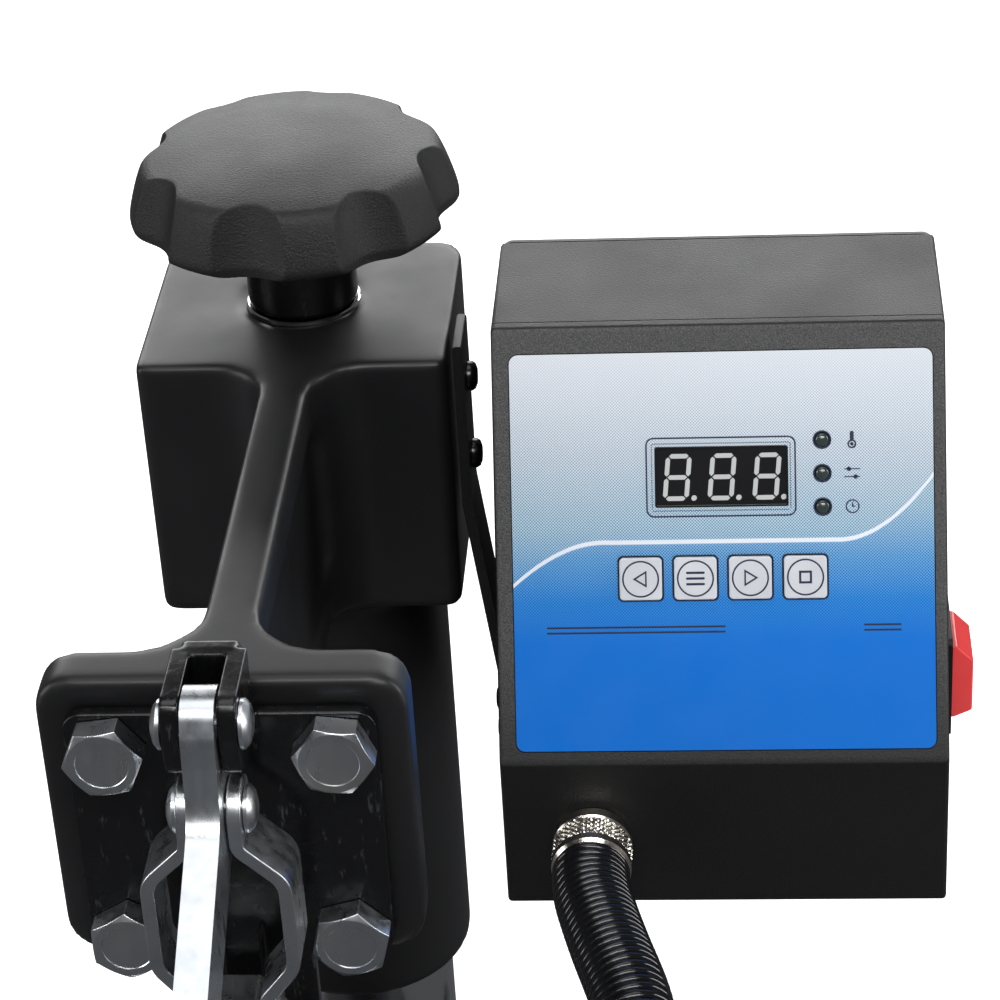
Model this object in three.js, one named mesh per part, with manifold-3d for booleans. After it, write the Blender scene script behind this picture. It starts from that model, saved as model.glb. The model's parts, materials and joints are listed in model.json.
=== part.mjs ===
// Mug heat press: post-type head with a toggle clamp, a heated half shell and a side controller.
// Millimetres, +Z up. Design coordinates: X right, Y away from the operator, origin on the column
// axis at the top of the head housing. The whole group is then lowered onto the table at z = 0.
import * as THREE from "three";
import { mergeVertices } from "three/addons/utils/BufferGeometryUtils.js";
import Module from "manifold-3d";

const wasm = await Module();
wasm.setup();

// ---------- driving dimensions ----------
const GAP = 0.3;
const STEEL_PLATE = 12;
const FOOT_HEIGHT = 10;
const TABLE_Z = -367;
const BASE_TOP = TABLE_Z + FOOT_HEIGHT + STEEL_PLATE;
const BASE = { halfWidth: 110, front: -285, back: 75, corner: 22 };

const PIPE_RADIUS = 29;
const PIPE_BORE = 25;
const PIPE_TOP = -40;
const SLEEVE_RADIUS = 36;
const SLEEVE_BOTTOM = -240;
const SCREW_RADIUS = 8;

const HOUSING = { halfWidth: 45, front: -42, back: 36, height: 84, fillet: 15, roof: 12 };
const ARM_WIDTH = 14;
const PLATE = { halfWidth: 46.5, back: -185, front: -199.5, top: 0, bottom: -85, corner: 9, fillet: 18 };
const BOLT_SPACING = { x: 57, z: 57.3 };
const BOLT_CENTRE_Z = -45.85;
const BOLT = { flats: 18, head: 7, radius: 6 };

const FLANGE = { halfWidth: 39, thickness: 4, top: -7, bottom: -82 };
const CLEVIS = { halfWidth: 9.3, neck: 7.5, top: 12, bottom: -9 };
const PLUNGER_Y = -222;
const PIVOT_A_Z = 3;
const CRANK = 25;
const LINK_LENGTH = 66;
const PIVOT_B_Z = PIVOT_A_Z - CRANK;
const PIVOT_C_Z = PIVOT_B_Z - LINK_LENGTH;
const LEVER_HALF = 4.1;
const CROSSHEAD_HALF = 6.4;
const LINK = { thickness: 3.5, width: 17, bulge: 15.3 };
const PIN_RADIUS = 4;
const HANDLE = { slope: 0.345, length: 185, height: 17, gripStart: 92, gripRadius: 12, skew: 0.028 };
const BARREL = { radius: 13, top: -106, bottom: -138 };
const ROD_RADIUS = 7;

const MUG_AXIS_Z = -238;
const SHELL = { inner: 46, outer: 51, halfLength: 55, margin: 0.18 };
const PAD = { inner: 42, outer: 45.7, halfLength: 50 };

const CASE = { left: 59, right: 186, back: 6, top: 14, topDepth: 54, bottom: -146, lower: 50, wall: 2.5 };
const CASE_MIDDLE = (CASE.left + CASE.right) / 2;
const SLOPE_TOP_Y = CASE.back - CASE.topDepth;
const SLOPE_LENGTH = 123.4;
const SLOPE_DROP = CASE.top - (CASE.bottom + CASE.lower);
const SLOPE_ANGLE = Math.acos(SLOPE_DROP / SLOPE_LENGTH);
const CASE_FRONT = SLOPE_TOP_Y - SLOPE_LENGTH * Math.sin(SLOPE_ANGLE);
const LABEL = { width: 118.2, top: -7.5, height: 112.4, thickness: 0.8 };
const KEY = { size: 12, pitch: 15.4, y: -71, proud: 1.4, stem: 4 };
const DISPLAY = { width: 37.4, height: 17.2, y: -42.5 };
const LED = { x: 28.2, first: -32.6, pitch: 9.4, radius: 2 };
const ROCKER = { y: -66, z: -89, height: 27, depth: 21, proud: 8.2 };
const HOSE_START = new THREE.Vector3(84.7, -120, -122);
const HOSE_END = new THREE.Vector3(106, -223, -214);
const TERMINAL_BOX = { bottom: -240, top: -222, right: 124, corner: 4 };
const HOSE_RADIUS = 11.1;
const BRACKET = { inner: 46.8, outer: 55.4, thickness: 3, top: 3, bend: -50, foot: -120, bottom: -143,
  back: -18, front: -38 };

// ---------- materials ----------
const finish = (color, roughness, metalness) =>
  new THREE.MeshStandardMaterial({ color, roughness, metalness });
const material = {
  blackPaint: finish(0x17181a, 0.35, 0.1),
  blackPlastic: finish(0x141416, 0.55, 0),
  knobPlastic: finish(0x1a1b1d, 0.6, 0),
  zinc: finish(0xb9c0c6, 0.3, 1),
  chrome: finish(0xd8d8d6, 0.12, 1),
  steel: finish(0x8d8f92, 0.4, 1),
  label: finish(0x2f7fc8, 0.35, 0),
  window: finish(0x0c0c0e, 0.1, 0),
  key: finish(0xb4b8bc, 0.4, 0.2),
  led: finish(0x5a6a66, 0.2, 0),
  red: finish(0xc4161c, 0.2, 0),
  rubber: finish(0x101010, 0.9, 0),
  silicone: finish(0xb3401c, 0.7, 0),
  aluminium: finish(0xa9abad, 0.45, 1),
  board: finish(0x1d5a34, 0.6, 0),
  hose: finish(0x0b0b0c, 0.25, 0),
};

// ---------- shape helpers ----------
const group = new THREE.Group();

function part(name, geometry, look, parent = group) {
  const mesh = new THREE.Mesh(geometry, look);
  mesh.name = name;
  parent.add(mesh);
  return mesh;
}

function solid(geometry) {
  const bare = geometry.index ? geometry.toNonIndexed() : geometry.clone();
  bare.deleteAttribute("normal");
  bare.deleteAttribute("uv");
  const merged = mergeVertices(bare, 1e-4);
  return new wasm.Manifold(new wasm.Mesh({
    numProp: 3,
    vertProperties: new Float32Array(merged.attributes.position.array),
    triVerts: new Uint32Array(merged.index.array),
  }));
}

function geometryOf(manifold) {
  const mesh = manifold.getMesh();
  const geometry = new THREE.BufferGeometry();
  geometry.setAttribute("position", new THREE.BufferAttribute(new Float32Array(mesh.vertProperties), 3));
  geometry.setIndex(new THREE.BufferAttribute(new Uint32Array(mesh.triVerts), 1));
  geometry.computeVertexNormals();
  return geometry;
}

const join = (first, ...others) =>
  geometryOf(others.reduce((sum, one) => sum.add(solid(one)), solid(first)));
const cut = (first, ...others) =>
  geometryOf(others.reduce((rest, one) => rest.subtract(solid(one)), solid(first)));
const common = (first, second) => geometryOf(solid(first).intersect(solid(second)));

function box(x0, x1, y0, y1, z0, z1) {
  const shape = new THREE.BoxGeometry(x1 - x0, y1 - y0, z1 - z0);
  return shape.translate((x0 + x1) / 2, (y0 + y1) / 2, (z0 + z1) / 2);
}

const TURN = {
  x: new THREE.Matrix4().makeRotationZ(-Math.PI / 2),
  y: new THREE.Matrix4(),
  z: new THREE.Matrix4().makeRotationX(Math.PI / 2),
};

// A cylinder from one end to the other along an axis through the point (a, b) of the other two axes.
function rod(axis, radius, from, to, a, b, sides = 24) {
  const shape = new THREE.CylinderGeometry(radius, radius, to - from, sides);
  shape.applyMatrix4(TURN[axis]);
  const middle = (from + to) / 2;
  if (axis === "x") return shape.translate(middle, a, b);
  if (axis === "y") return shape.translate(a, middle, b);
  return shape.translate(a, b, middle);
}

const hexagon = (axis, flats, from, to, a, b) => rod(axis, flats / Math.sqrt(3), from, to, a, b, 6);

// A solid of revolution about a vertical axis through (x, y), from [radius, z] pairs.
function turned(profile, x, y, sides = 40) {
  const points = profile.map(([radius, z]) => new THREE.Vector2(radius, z));
  const shape = new THREE.LatheGeometry(points, sides);
  return shape.rotateX(Math.PI / 2).translate(x, y, 0);
}

const ring = (inner, outer, bottom, top) =>
  [[inner, bottom], [outer, bottom], [outer, top], [inner, top], [inner, bottom]];
const column = (outer, bottom, top) => [[0, bottom], [outer, bottom], [outer, top], [0, top]];

function roundedOutline(x0, x1, y0, y1, radius) {
  const shape = new THREE.Shape();
  shape.moveTo(x0 + radius, y0);
  shape.absarc(x1 - radius, y0 + radius, radius, -Math.PI / 2, 0);
  shape.absarc(x1 - radius, y1 - radius, radius, 0, Math.PI / 2);
  shape.absarc(x0 + radius, y1 - radius, radius, Math.PI / 2, Math.PI);
  shape.absarc(x0 + radius, y0 + radius, radius, Math.PI, Math.PI * 1.5);
  return shape;
}

function extrude(shape, depth, curveSegments = 6) {
  return new THREE.ExtrudeGeometry(shape, { depth, bevelEnabled: false, curveSegments });
}

const standing = (shape, bottom, top, segments) => extrude(shape, top - bottom, segments).translate(0, 0, bottom);

// An outline drawn in (y, z), extruded along X.
function alongX(shape, from, to, segments) {
  const axes = new THREE.Matrix4().makeBasis(
    new THREE.Vector3(0, 1, 0), new THREE.Vector3(0, 0, 1), new THREE.Vector3(1, 0, 0));
  return extrude(shape, to - from, segments).applyMatrix4(axes).translate(from, 0, 0);
}

// An outline drawn in (x, z), extruded from the far Y towards the near one.
function alongY(shape, from, to, segments) {
  const axes = new THREE.Matrix4().makeBasis(
    new THREE.Vector3(1, 0, 0), new THREE.Vector3(0, 0, 1), new THREE.Vector3(0, -1, 0));
  return extrude(shape, to - from, segments).applyMatrix4(axes).translate(0, to, 0);
}

function outline(points) {
  return new THREE.Shape(points.map(([a, b]) => new THREE.Vector2(a, b)));
}

// ---------- base and column ----------
function makeBase() {
  const plate = roundedOutline(-BASE.halfWidth, BASE.halfWidth, BASE.front, BASE.back, BASE.corner);
  part("base_plate", standing(plate, BASE_TOP - STEEL_PLATE, BASE_TOP), material.blackPaint);
  let count = 0;
  for (const x of [-90, 90]) {
    for (const y of [BASE.front + 20, BASE.back - 20]) {
      count += 1;
      const profile = [[0, TABLE_Z], [12, TABLE_Z], [15, BASE_TOP - STEEL_PLATE - GAP],
        [0, BASE_TOP - STEEL_PLATE - GAP]];
      part(`foot_${count}`, turned(profile, x, y, 20), material.rubber);
    }
  }
}

function makeColumn() {
  const bottom = BASE_TOP + GAP;
  const flange = turned([[PIPE_RADIUS + GAP, bottom], [57, bottom], [57, bottom + 9], [39, bottom + 9],
    [38, bottom + 28], [PIPE_RADIUS + GAP, bottom + 28], [PIPE_RADIUS + GAP, bottom]], 0, 0);
  const holes = [];
  const boltCircle = 48.5;
  for (let i = 0; i < 4; i += 1) {
    const angle = Math.PI / 4 + i * Math.PI / 2;
    const x = boltCircle * Math.cos(angle);
    const y = boltCircle * Math.sin(angle);
    holes.push(rod("z", 4 + GAP, bottom - 1, bottom + 20, x, y, 16));
    const head = hexagon("z", 13, bottom + 10, bottom + 15.5, x, y);
    part(`column_bolt_${i + 1}`, join(head, rod("z", 4, bottom + 1, bottom + 11, x, y, 16)), material.zinc);
  }
  part("column_flange", cut(flange, ...holes), material.blackPaint);
  part("column_pipe", turned(ring(PIPE_BORE, PIPE_RADIUS, bottom, PIPE_TOP), 0, 0, 48), material.chrome);
  const nut = ring(SCREW_RADIUS + GAP, PIPE_BORE - GAP, PIPE_TOP - 24, PIPE_TOP - 4);
  part("lift_nut", turned(nut, 0, 0), material.steel);
}

function makeLowerCradle() {
  const bottom = BASE_TOP + GAP;
  part("lower_cradle", join(halfShell(SHELL, -1), box(-20, 20, PLUNGER_Y - 14, PLUNGER_Y + 14,
    MUG_AXIS_Z - SHELL.outer - 7, MUG_AXIS_Z - SHELL.outer + 3)), material.blackPaint);
  part("lower_pad", halfShell({ ...PAD, margin: SHELL.margin + 0.04 }, -1), material.silicone);
  const top = MUG_AXIS_Z - SHELL.outer - 7 - GAP;
  part("cradle_pedestal", join(
    box(-42, 42, PLUNGER_Y - 34, PLUNGER_Y + 34, bottom, bottom + 8),
    box(-30, 30, PLUNGER_Y - 5, PLUNGER_Y + 5, bottom + 7, top - 7),
    box(-26, 26, PLUNGER_Y - 18, PLUNGER_Y + 18, top - 8, top)), material.blackPaint);
}

// Half a tube about the mug axis: side 1 is the upper half, -1 the lower half.
function halfShell({ inner, outer, halfLength, margin }, side) {
  const shape = new THREE.Shape();
  const start = side > 0 ? margin : Math.PI + margin;
  const end = start + Math.PI - 2 * margin;
  shape.absarc(PLUNGER_Y, MUG_AXIS_Z, outer, start, end, false);
  shape.absarc(PLUNGER_Y, MUG_AXIS_Z, inner, end, start, true);
  return alongX(shape, -halfLength, halfLength, 20);
}

// ---------- height adjuster ----------
function makeAdjuster() {
  part("thrust_bush", turned([[SCREW_RADIUS + GAP, -13], [12, -13], [12, GAP], [17, GAP], [17, 2.3],
    [SCREW_RADIUS + GAP, 2.3], [SCREW_RADIUS + GAP, -13]], 0, 0), material.chrome);
  part("lift_screw", turned(column(SCREW_RADIUS, -100, 24), 0, 0, 24), material.steel);
  part("knob", makeKnob(), material.knobPlastic);
}

function makeKnob() {
  const lobes = 8;
  const rim = new THREE.Shape();
  const samples = 72;
  for (let i = 0; i < samples; i += 1) {
    const angle = i / samples * 2 * Math.PI;
    const radius = 46.3 + 1.7 * Math.cos(lobes * angle);
    const x = radius * Math.cos(angle);
    const y = radius * Math.sin(angle);
    if (i) rim.lineTo(x, y);
    else rim.moveTo(x, y);
  }
  const dome = turned([[0, 27], [24, 27], [40, 30], [47, 30], [48.5, 33], [48, 46], [43, 50.5], [24, 53.5],
    [0, 54.5]], 0, 0, 48);
  const head = common(standing(rim, 20, 60), dome);
  const hub = turned([[0, 2.6], [16.2, 2.6], [16.2, 26], [24, 31], [0, 31]], 0, 0, 32);
  return geometryOf(solid(head).add(solid(hub))
    .subtract(solid(rod("z", SCREW_RADIUS + GAP, 0, 24 + GAP, 0, 0))));
}

// ---------- head casting ----------
function boltPlaces() {
  const places = [];
  for (const x of [-BOLT_SPACING.x / 2, BOLT_SPACING.x / 2]) {
    for (const z of [BOLT_CENTRE_Z + BOLT_SPACING.z / 2, BOLT_CENTRE_Z - BOLT_SPACING.z / 2]) places.push([x, z]);
  }
  return places;
}

function makeHead() {
  const half = ARM_WIDTH / 2;
  const root = HOUSING.fillet;
  const flare = PLATE.fillet;
  const plan = new THREE.Shape();
  plan.moveTo(HOUSING.halfWidth, HOUSING.back);
  plan.lineTo(-HOUSING.halfWidth, HOUSING.back);
  plan.lineTo(-HOUSING.halfWidth, HOUSING.front);
  plan.absarc(-half - root, HOUSING.front - root, root, Math.PI / 2, 0, true);
  plan.absarc(-half - flare, PLATE.back + flare, flare, 0, -Math.PI / 2, true);
  plan.lineTo(-half - flare, PLATE.back - 2);
  plan.lineTo(half + flare, PLATE.back - 2);
  plan.absarc(half + flare, PLATE.back + flare, flare, -Math.PI / 2, -Math.PI, true);
  plan.absarc(half + root, HOUSING.front - root, root, Math.PI, Math.PI / 2, true);
  plan.lineTo(HOUSING.halfWidth, HOUSING.front);
  const body = standing(plan, PLATE.bottom + 2, 0);
  const under = box(-HOUSING.halfWidth, HOUSING.halfWidth, HOUSING.front, HOUSING.back,
    -HOUSING.height, 4 - HOUSING.height);
  const pocket = (x0, x1) => box(x0, x1, PLATE.back + 8, HOUSING.front - 6, PLATE.bottom + 17, -12);
  const plate = alongY(roundedOutline(-PLATE.halfWidth, PLATE.halfWidth, PLATE.bottom, PLATE.top, PLATE.corner),
    PLATE.front, PLATE.back);
  const sleeve = rod("z", SLEEVE_RADIUS, SLEEVE_BOTTOM, 1 - HOUSING.height, 0, 0, 48);
  const bore = rod("z", PIPE_RADIUS + 0.5, SLEEVE_BOTTOM - 1, -HOUSING.roof, 0, 0, 48);
  const bushHole = rod("z", 12 + GAP, -HOUSING.roof - 1, 1, 0, 0);
  const holes = boltPlaces().map(([x, z]) => rod("y", BOLT.radius + GAP, PLATE.front - 1, PLATE.back + 1, x, z, 16));
  const casting = join(body, under, plate, sleeve);
  part("head_casting", cut(casting, bore, bushHole, pocket(-20, -4.6), pocket(4.6, 20), ...holes),
    material.blackPaint);
}

// ---------- toggle clamp ----------
function makeClampBase() {
  const back = PLATE.front - GAP;
  const front = back - FLANGE.thickness;
  const plate = alongY(roundedOutline(-FLANGE.halfWidth, FLANGE.halfWidth, FLANGE.bottom, FLANGE.top, 5), front, back);
  const tongue = box(-18, 18, front, back, BARREL.bottom, FLANGE.bottom + 10);
  const web = box(-5, 5, PLUNGER_Y + 6, front + 1, BARREL.bottom, BARREL.top);
  const barrel = rod("z", BARREL.radius, BARREL.bottom, BARREL.top, 0, PLUNGER_Y);
  const cheekShape = new THREE.Shape();
  cheekShape.moveTo(front + 1, CLEVIS.top);
  cheekShape.absarc(PLUNGER_Y + 4, PIVOT_A_Z, CLEVIS.top - PIVOT_A_Z, Math.PI / 2, Math.PI);
  cheekShape.lineTo(PLUNGER_Y - 5, CLEVIS.bottom);
  cheekShape.lineTo(front + 1, CLEVIS.bottom);
  const cheek = (from, to) => alongX(cheekShape, from, to);
  const slot = LEVER_HALF + 0.4;
  const neck = box(-CLEVIS.neck, CLEVIS.neck, front, back, CLEVIS.bottom - 3, CLEVIS.top);
  const cheeks = [cheek(slot, CLEVIS.halfWidth), cheek(-CLEVIS.halfWidth, -slot)];
  const body = join(plate, tongue, web, barrel, ...cheeks, neck);
  const bore = rod("z", ROD_RADIUS + GAP, BARREL.bottom - 1, BARREL.top + 1, 0, PLUNGER_Y);
  const pinHole = rod("x", PIN_RADIUS + GAP, -20, 20, PLUNGER_Y, PIVOT_A_Z, 16);
  const holes = boltPlaces().map(([x, z]) => rod("y", BOLT.radius + GAP, front - 1, back + 1, x, z, 16));
  part("clamp_base", cut(body, bore, pinHole, ...holes), material.blackPaint);
  boltPlaces().forEach(([x, z], i) => {
    const head = hexagon("y", BOLT.flats, front - GAP - BOLT.head, front - GAP, x, z);
    part(`clamp_bolt_${i + 1}`, join(head, rod("y", BOLT.radius, front - GAP - 1, PLATE.back + 6, x, z, 16)),
      material.zinc);
  });
}

// A headed pin through two cheeks, along X.
function pin(halfShank, headRadius, headHeight, y, z) {
  const shank = rod("x", PIN_RADIUS, -halfShank - 1, halfShank + 1, y, z, 16);
  return join(shank, rod("x", headRadius, halfShank, halfShank + headHeight, y, z, 20),
    rod("x", headRadius, -halfShank - headHeight, -halfShank, y, z, 20));
}

function makeLever() {
  const half = HANDLE.height / 2;
  const cos = Math.cos(HANDLE.slope);
  const sin = Math.sin(HANDLE.slope);
  const reach = (along, side) => [PLUNGER_Y - along * cos - side * sin, PIVOT_B_Z - along * sin + side * cos];
  const shape = outline([[PLUNGER_Y + 9, PIVOT_A_Z + 3], [PLUNGER_Y + 4, PIVOT_A_Z + 8.5],
    [PLUNGER_Y - 4, PIVOT_A_Z + 8.5], [PLUNGER_Y - 9, PIVOT_A_Z + 3], reach(8, half), reach(HANDLE.length, half),
    reach(HANDLE.length, -half), reach(4, -half), [PLUNGER_Y + 3, PIVOT_B_Z - 8], [PLUNGER_Y + 8, PIVOT_B_Z - 4]]);
  const holes = [PIVOT_A_Z, PIVOT_B_Z].map((z) => rod("x", PIN_RADIUS + GAP, -9, 9, PLUNGER_Y, z, 16));
  part("lever", skewed(cut(alongX(shape, -LEVER_HALF, LEVER_HALF), ...holes)), material.zinc);
  part("lever_grip", skewed(makeGrip(reach)), material.rubber);
}

// The handle points slightly to the right: it leaves the middle plane just in front of the links.
function skewed(geometry) {
  const points = geometry.attributes.position;
  for (let i = 0; i < points.count; i += 1) {
    const ahead = Math.max(0, PLUNGER_Y - 12 - points.getY(i));
    points.setX(i, points.getX(i) + HANDLE.skew * ahead);
  }
  return geometry;
}

function makeGrip(reach) {
  const length = HANDLE.length + 6 - HANDLE.gripStart;
  const shape = new THREE.LatheGeometry([[0, 0], [10.5, 0], [HANDLE.gripRadius, 4], [HANDLE.gripRadius, length - 6],
    [8, length], [0, length]].map(([r, along]) => new THREE.Vector2(r, along)), 24);
  const slotHalf = HANDLE.height / 2 + GAP;
  const slot = new THREE.BoxGeometry(2 * LEVER_HALF + 2 * GAP, length - 5, 2 * slotHalf);
  const hollow = cut(shape, slot.translate(0, (length - 5) / 2 - 0.5, 0));
  const [y, z] = reach(HANDLE.gripStart, 0);
  return hollow.rotateX(Math.PI + HANDLE.slope).translate(0, y, z);
}

function makeLinks() {
  const { thickness, bulge, width } = LINK;
  const top = LEVER_HALF + 0.4;
  const low = ROD_RADIUS + 0.5;
  const z = (along) => PIVOT_B_Z - along;
  const side = [[top, z(-8.5)], [top, z(9)], [bulge, z(17)], [bulge, z(44)], [low, z(54)],
    [low, z(LINK_LENGTH + 8.5)]];
  const rim = new THREE.Shape();
  rim.absarc(PLUNGER_Y, PIVOT_B_Z, width / 2, 0, Math.PI, false);
  rim.absarc(PLUNGER_Y, PIVOT_C_Z, width / 2, Math.PI, 2 * Math.PI, false);
  for (const [name, sign] of [["link_left", -1], ["link_right", 1]]) {
    const inner = side.map(([x, height]) => [sign * x, height]);
    const outer = side.map(([x, height]) => [sign * (x + thickness), height]).reverse();
    const points = sign > 0 ? [...outer, ...inner] : [...outer, ...inner].reverse();
    const blank = alongY(outline(points), PLUNGER_Y - width / 2, PLUNGER_Y + width / 2);
    const strap = common(blank, alongX(rim, -30, 30, 10));
    const hole = rod("x", PIN_RADIUS + GAP, -30, 30, PLUNGER_Y, PIVOT_B_Z, 16);
    const face = sign * (low + thickness);
    const rivet = rod("x", 5.6, Math.min(face, face + sign * 2.4) - 0.5, Math.max(face, face + sign * 2.4) + 0.5,
      PLUNGER_Y, PIVOT_C_Z, 16);
    part(name, geometryOf(solid(strap).subtract(solid(hole)).add(solid(rivet))), material.zinc);
  }
  part("pivot_pin_lever", pin(CLEVIS.halfWidth + GAP, 6.2, 3, PLUNGER_Y, PIVOT_A_Z), material.zinc);
  part("pivot_pin_link", pin(top + thickness + GAP, 6, 2.6, PLUNGER_Y, PIVOT_B_Z), material.zinc);
  part("pivot_pin_plunger", rod("x", PIN_RADIUS, -CROSSHEAD_HALF, CROSSHEAD_HALF, PLUNGER_Y, PIVOT_C_Z, 16),
    material.zinc);
}

// ---------- plunger and heated shell ----------
function makePlunger() {
  const crosshead = box(-CROSSHEAD_HALF, CROSSHEAD_HALF, PLUNGER_Y - 8, PLUNGER_Y + 8, PIVOT_C_Z - 12, PIVOT_C_Z + 8);
  const shank = rod("z", ROD_RADIUS, -184, PIVOT_C_Z - 11, 0, PLUNGER_Y);
  const hole = rod("x", PIN_RADIUS + GAP, -9, 9, PLUNGER_Y, PIVOT_C_Z, 16);
  part("plunger", cut(join(crosshead, shank), hole), material.zinc);
  part("lock_nut", cut(hexagon("z", 22, -175.7, -169.7, 0, PLUNGER_Y),
    rod("z", ROD_RADIUS + GAP, -180, -165, 0, PLUNGER_Y)), material.zinc);
}

function makeHeater() {
  const boss = rod("z", 16, MUG_AXIS_Z + SHELL.outer - 3, -176, 0, PLUNGER_Y);
  const socket = rod("z", ROD_RADIUS + GAP, -184 - GAP, -170, 0, PLUNGER_Y);
  part("upper_shell", cut(join(halfShell(SHELL, 1), boss), socket), material.blackPaint);
  part("heater_pad", halfShell({ ...PAD, margin: SHELL.margin + 0.04 }, 1), material.silicone);
  const plateShape = new THREE.Shape();
  plateShape.absarc(PLUNGER_Y, MUG_AXIS_Z, SHELL.outer, SHELL.margin, Math.PI - SHELL.margin, false);
  const left = SHELL.halfLength + GAP;
  part("shell_end_plate", alongX(plateShape, left, left + 3, 20), material.blackPaint);
  const boxLeft = left + 3 + GAP;
  part("terminal_box", alongX(roundedOutline(PLUNGER_Y - 22, PLUNGER_Y + 20, TERMINAL_BOX.bottom,
    TERMINAL_BOX.top, TERMINAL_BOX.corner), boxLeft, TERMINAL_BOX.right),
    material.blackPlastic);
  part("hose_gland", turned(ring(6, 12, TERMINAL_BOX.top + GAP, HOSE_END.z - GAP), HOSE_END.x, HOSE_END.y, 24),
    material.steel);
}

// ---------- controller ----------
const panel = new THREE.Group();
panel.position.set(CASE_MIDDLE + 0.7, SLOPE_TOP_Y, CASE.top);
panel.rotation.x = Math.PI / 2 - SLOPE_ANGLE;
panel.updateMatrix();

const onPanel = (shape) => shape.applyMatrix4(panel.matrix);
const keyPlaces = [-1.5, -0.5, 0.5, 1.5].map((step) => step * KEY.pitch);

function caseProfile(inset, back) {
  const slopeShift = inset / Math.cos(SLOPE_ANGLE) - inset * Math.tan(SLOPE_ANGLE);
  const lowShift = inset * Math.tan(SLOPE_ANGLE / 2);
  return outline([[back, CASE.top - inset], [SLOPE_TOP_Y + slopeShift, CASE.top - inset],
    [CASE_FRONT + inset, CASE.bottom + CASE.lower - lowShift], [CASE_FRONT + inset, CASE.bottom + inset],
    [back, CASE.bottom + inset]]);
}

function keyHole(x, clearance, from, to) {
  const half = KEY.size / 2 + clearance;
  return box(x - half, x + half, KEY.y - half, KEY.y + half, from, to);
}

function makeController() {
  const shell = alongX(caseProfile(0, CASE.back), CASE.left, CASE.right);
  const hollow = alongX(caseProfile(CASE.wall, CASE.back + 1), CASE.left + CASE.wall, CASE.right - CASE.wall);
  const windowHole = box(-DISPLAY.width / 2, DISPLAY.width / 2, DISPLAY.y - DISPLAY.height / 2,
    DISPLAY.y + DISPLAY.height / 2, -5, 5);
  const ledHoles = [0, 1, 2].map((i) => rod("z", LED.radius + GAP, -5, 5, LED.x, LED.first - i * LED.pitch, 12));
  const openings = [windowHole, ...ledHoles, ...keyPlaces.map((x) => keyHole(x, GAP, -5, 5))];
  const rockerHole = box(CASE.right - 5, CASE.right + 2, ROCKER.y - ROCKER.depth / 2 - 1.4,
    ROCKER.y + ROCKER.depth / 2 + 1.4, ROCKER.z - ROCKER.height / 2 - 1.4, ROCKER.z + ROCKER.height / 2 + 1.4);
  const hoseHole = rod("y", 8 + GAP, CASE_FRONT - 2, CASE_FRONT + 5, HOSE_START.x, HOSE_START.z);
  const recess = box(-LABEL.width / 2 - GAP, LABEL.width / 2 + GAP, LABEL.top - LABEL.height - GAP,
    LABEL.top + GAP, -LABEL.thickness, 5);
  part("controller_case", cut(shell, hollow, rockerHole, hoseHole, onPanel(recess),
    ...openings.map((one) => onPanel(one.clone()))), material.blackPlastic);
  part("label_panel", cut(box(-LABEL.width / 2, LABEL.width / 2, LABEL.top - LABEL.height, LABEL.top,
    GAP - LABEL.thickness, 0), ...openings), material.label, panel);
  part("display_window", box(-DISPLAY.width / 2 + GAP, DISPLAY.width / 2 - GAP, DISPLAY.y - DISPLAY.height / 2 + GAP,
    DISPLAY.y + DISPLAY.height / 2 - GAP, -4, -GAP), material.window, panel);
  for (let i = 0; i < 3; i += 1) {
    part(`led_${i + 1}`, rod("z", LED.radius, -5, 0.5, LED.x, LED.first - i * LED.pitch, 16), material.led, panel);
  }
  ["key_left", "key_mode", "key_right", "key_stop"].forEach((name, i) => {
    part(name, keyHole(keyPlaces[i], 0, -KEY.stem, KEY.proud), material.key, panel);
  });
  part("control_board", box(-45, 45, -88, -22, -8.6, -7), material.board, panel);
  group.add(panel);
  makeCaseFittings();
}

function makeCaseFittings() {
  const backPlate = box(CASE.left, CASE.right, CASE.back + GAP, CASE.back + 1.8, CASE.bottom, CASE.top);
  const inletHole = box(CASE_MIDDLE - 14, CASE_MIDDLE + 14, CASE.back - 1, CASE.back + 3, -122, -102);
  part("controller_back", cut(backPlate, inletHole), material.blackPaint);
  const inletBody = box(CASE_MIDDLE - 13.6, CASE_MIDDLE + 13.6, CASE.back - 18, CASE.back + 3, -121.6, -102.4);
  const inletRim = box(CASE_MIDDLE - 24, CASE_MIDDLE + 24, CASE.back + 2.1, CASE.back + 5, -125, -99);
  const socket = box(CASE_MIDDLE - 11, CASE_MIDDLE + 11, CASE.back - 14, CASE.back + 6, -119, -105);
  part("power_inlet", cut(join(inletBody, inletRim), socket), material.blackPlastic);
  makeRocker();
  const collarLength = CASE_FRONT - HOSE_START.y - 2 * GAP;
  const collar = new THREE.LatheGeometry([[0, 0], [11.4, 0], [11.4, collarLength], [0, collarLength]]
    .map(([r, along]) => new THREE.Vector2(r, along)), 32);
  collar.rotateX(Math.PI).translate(HOSE_START.x, CASE_FRONT - GAP, HOSE_START.z);
  const thread = rod("y", 8, CASE_FRONT - 3, CASE_FRONT + 8, HOSE_START.x, HOSE_START.z);
  const passage = rod("y", 5, CASE_FRONT - 20, CASE_FRONT + 10, HOSE_START.x, HOSE_START.z);
  part("hose_connector", cut(join(collar, thread), passage), material.zinc);
}

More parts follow.
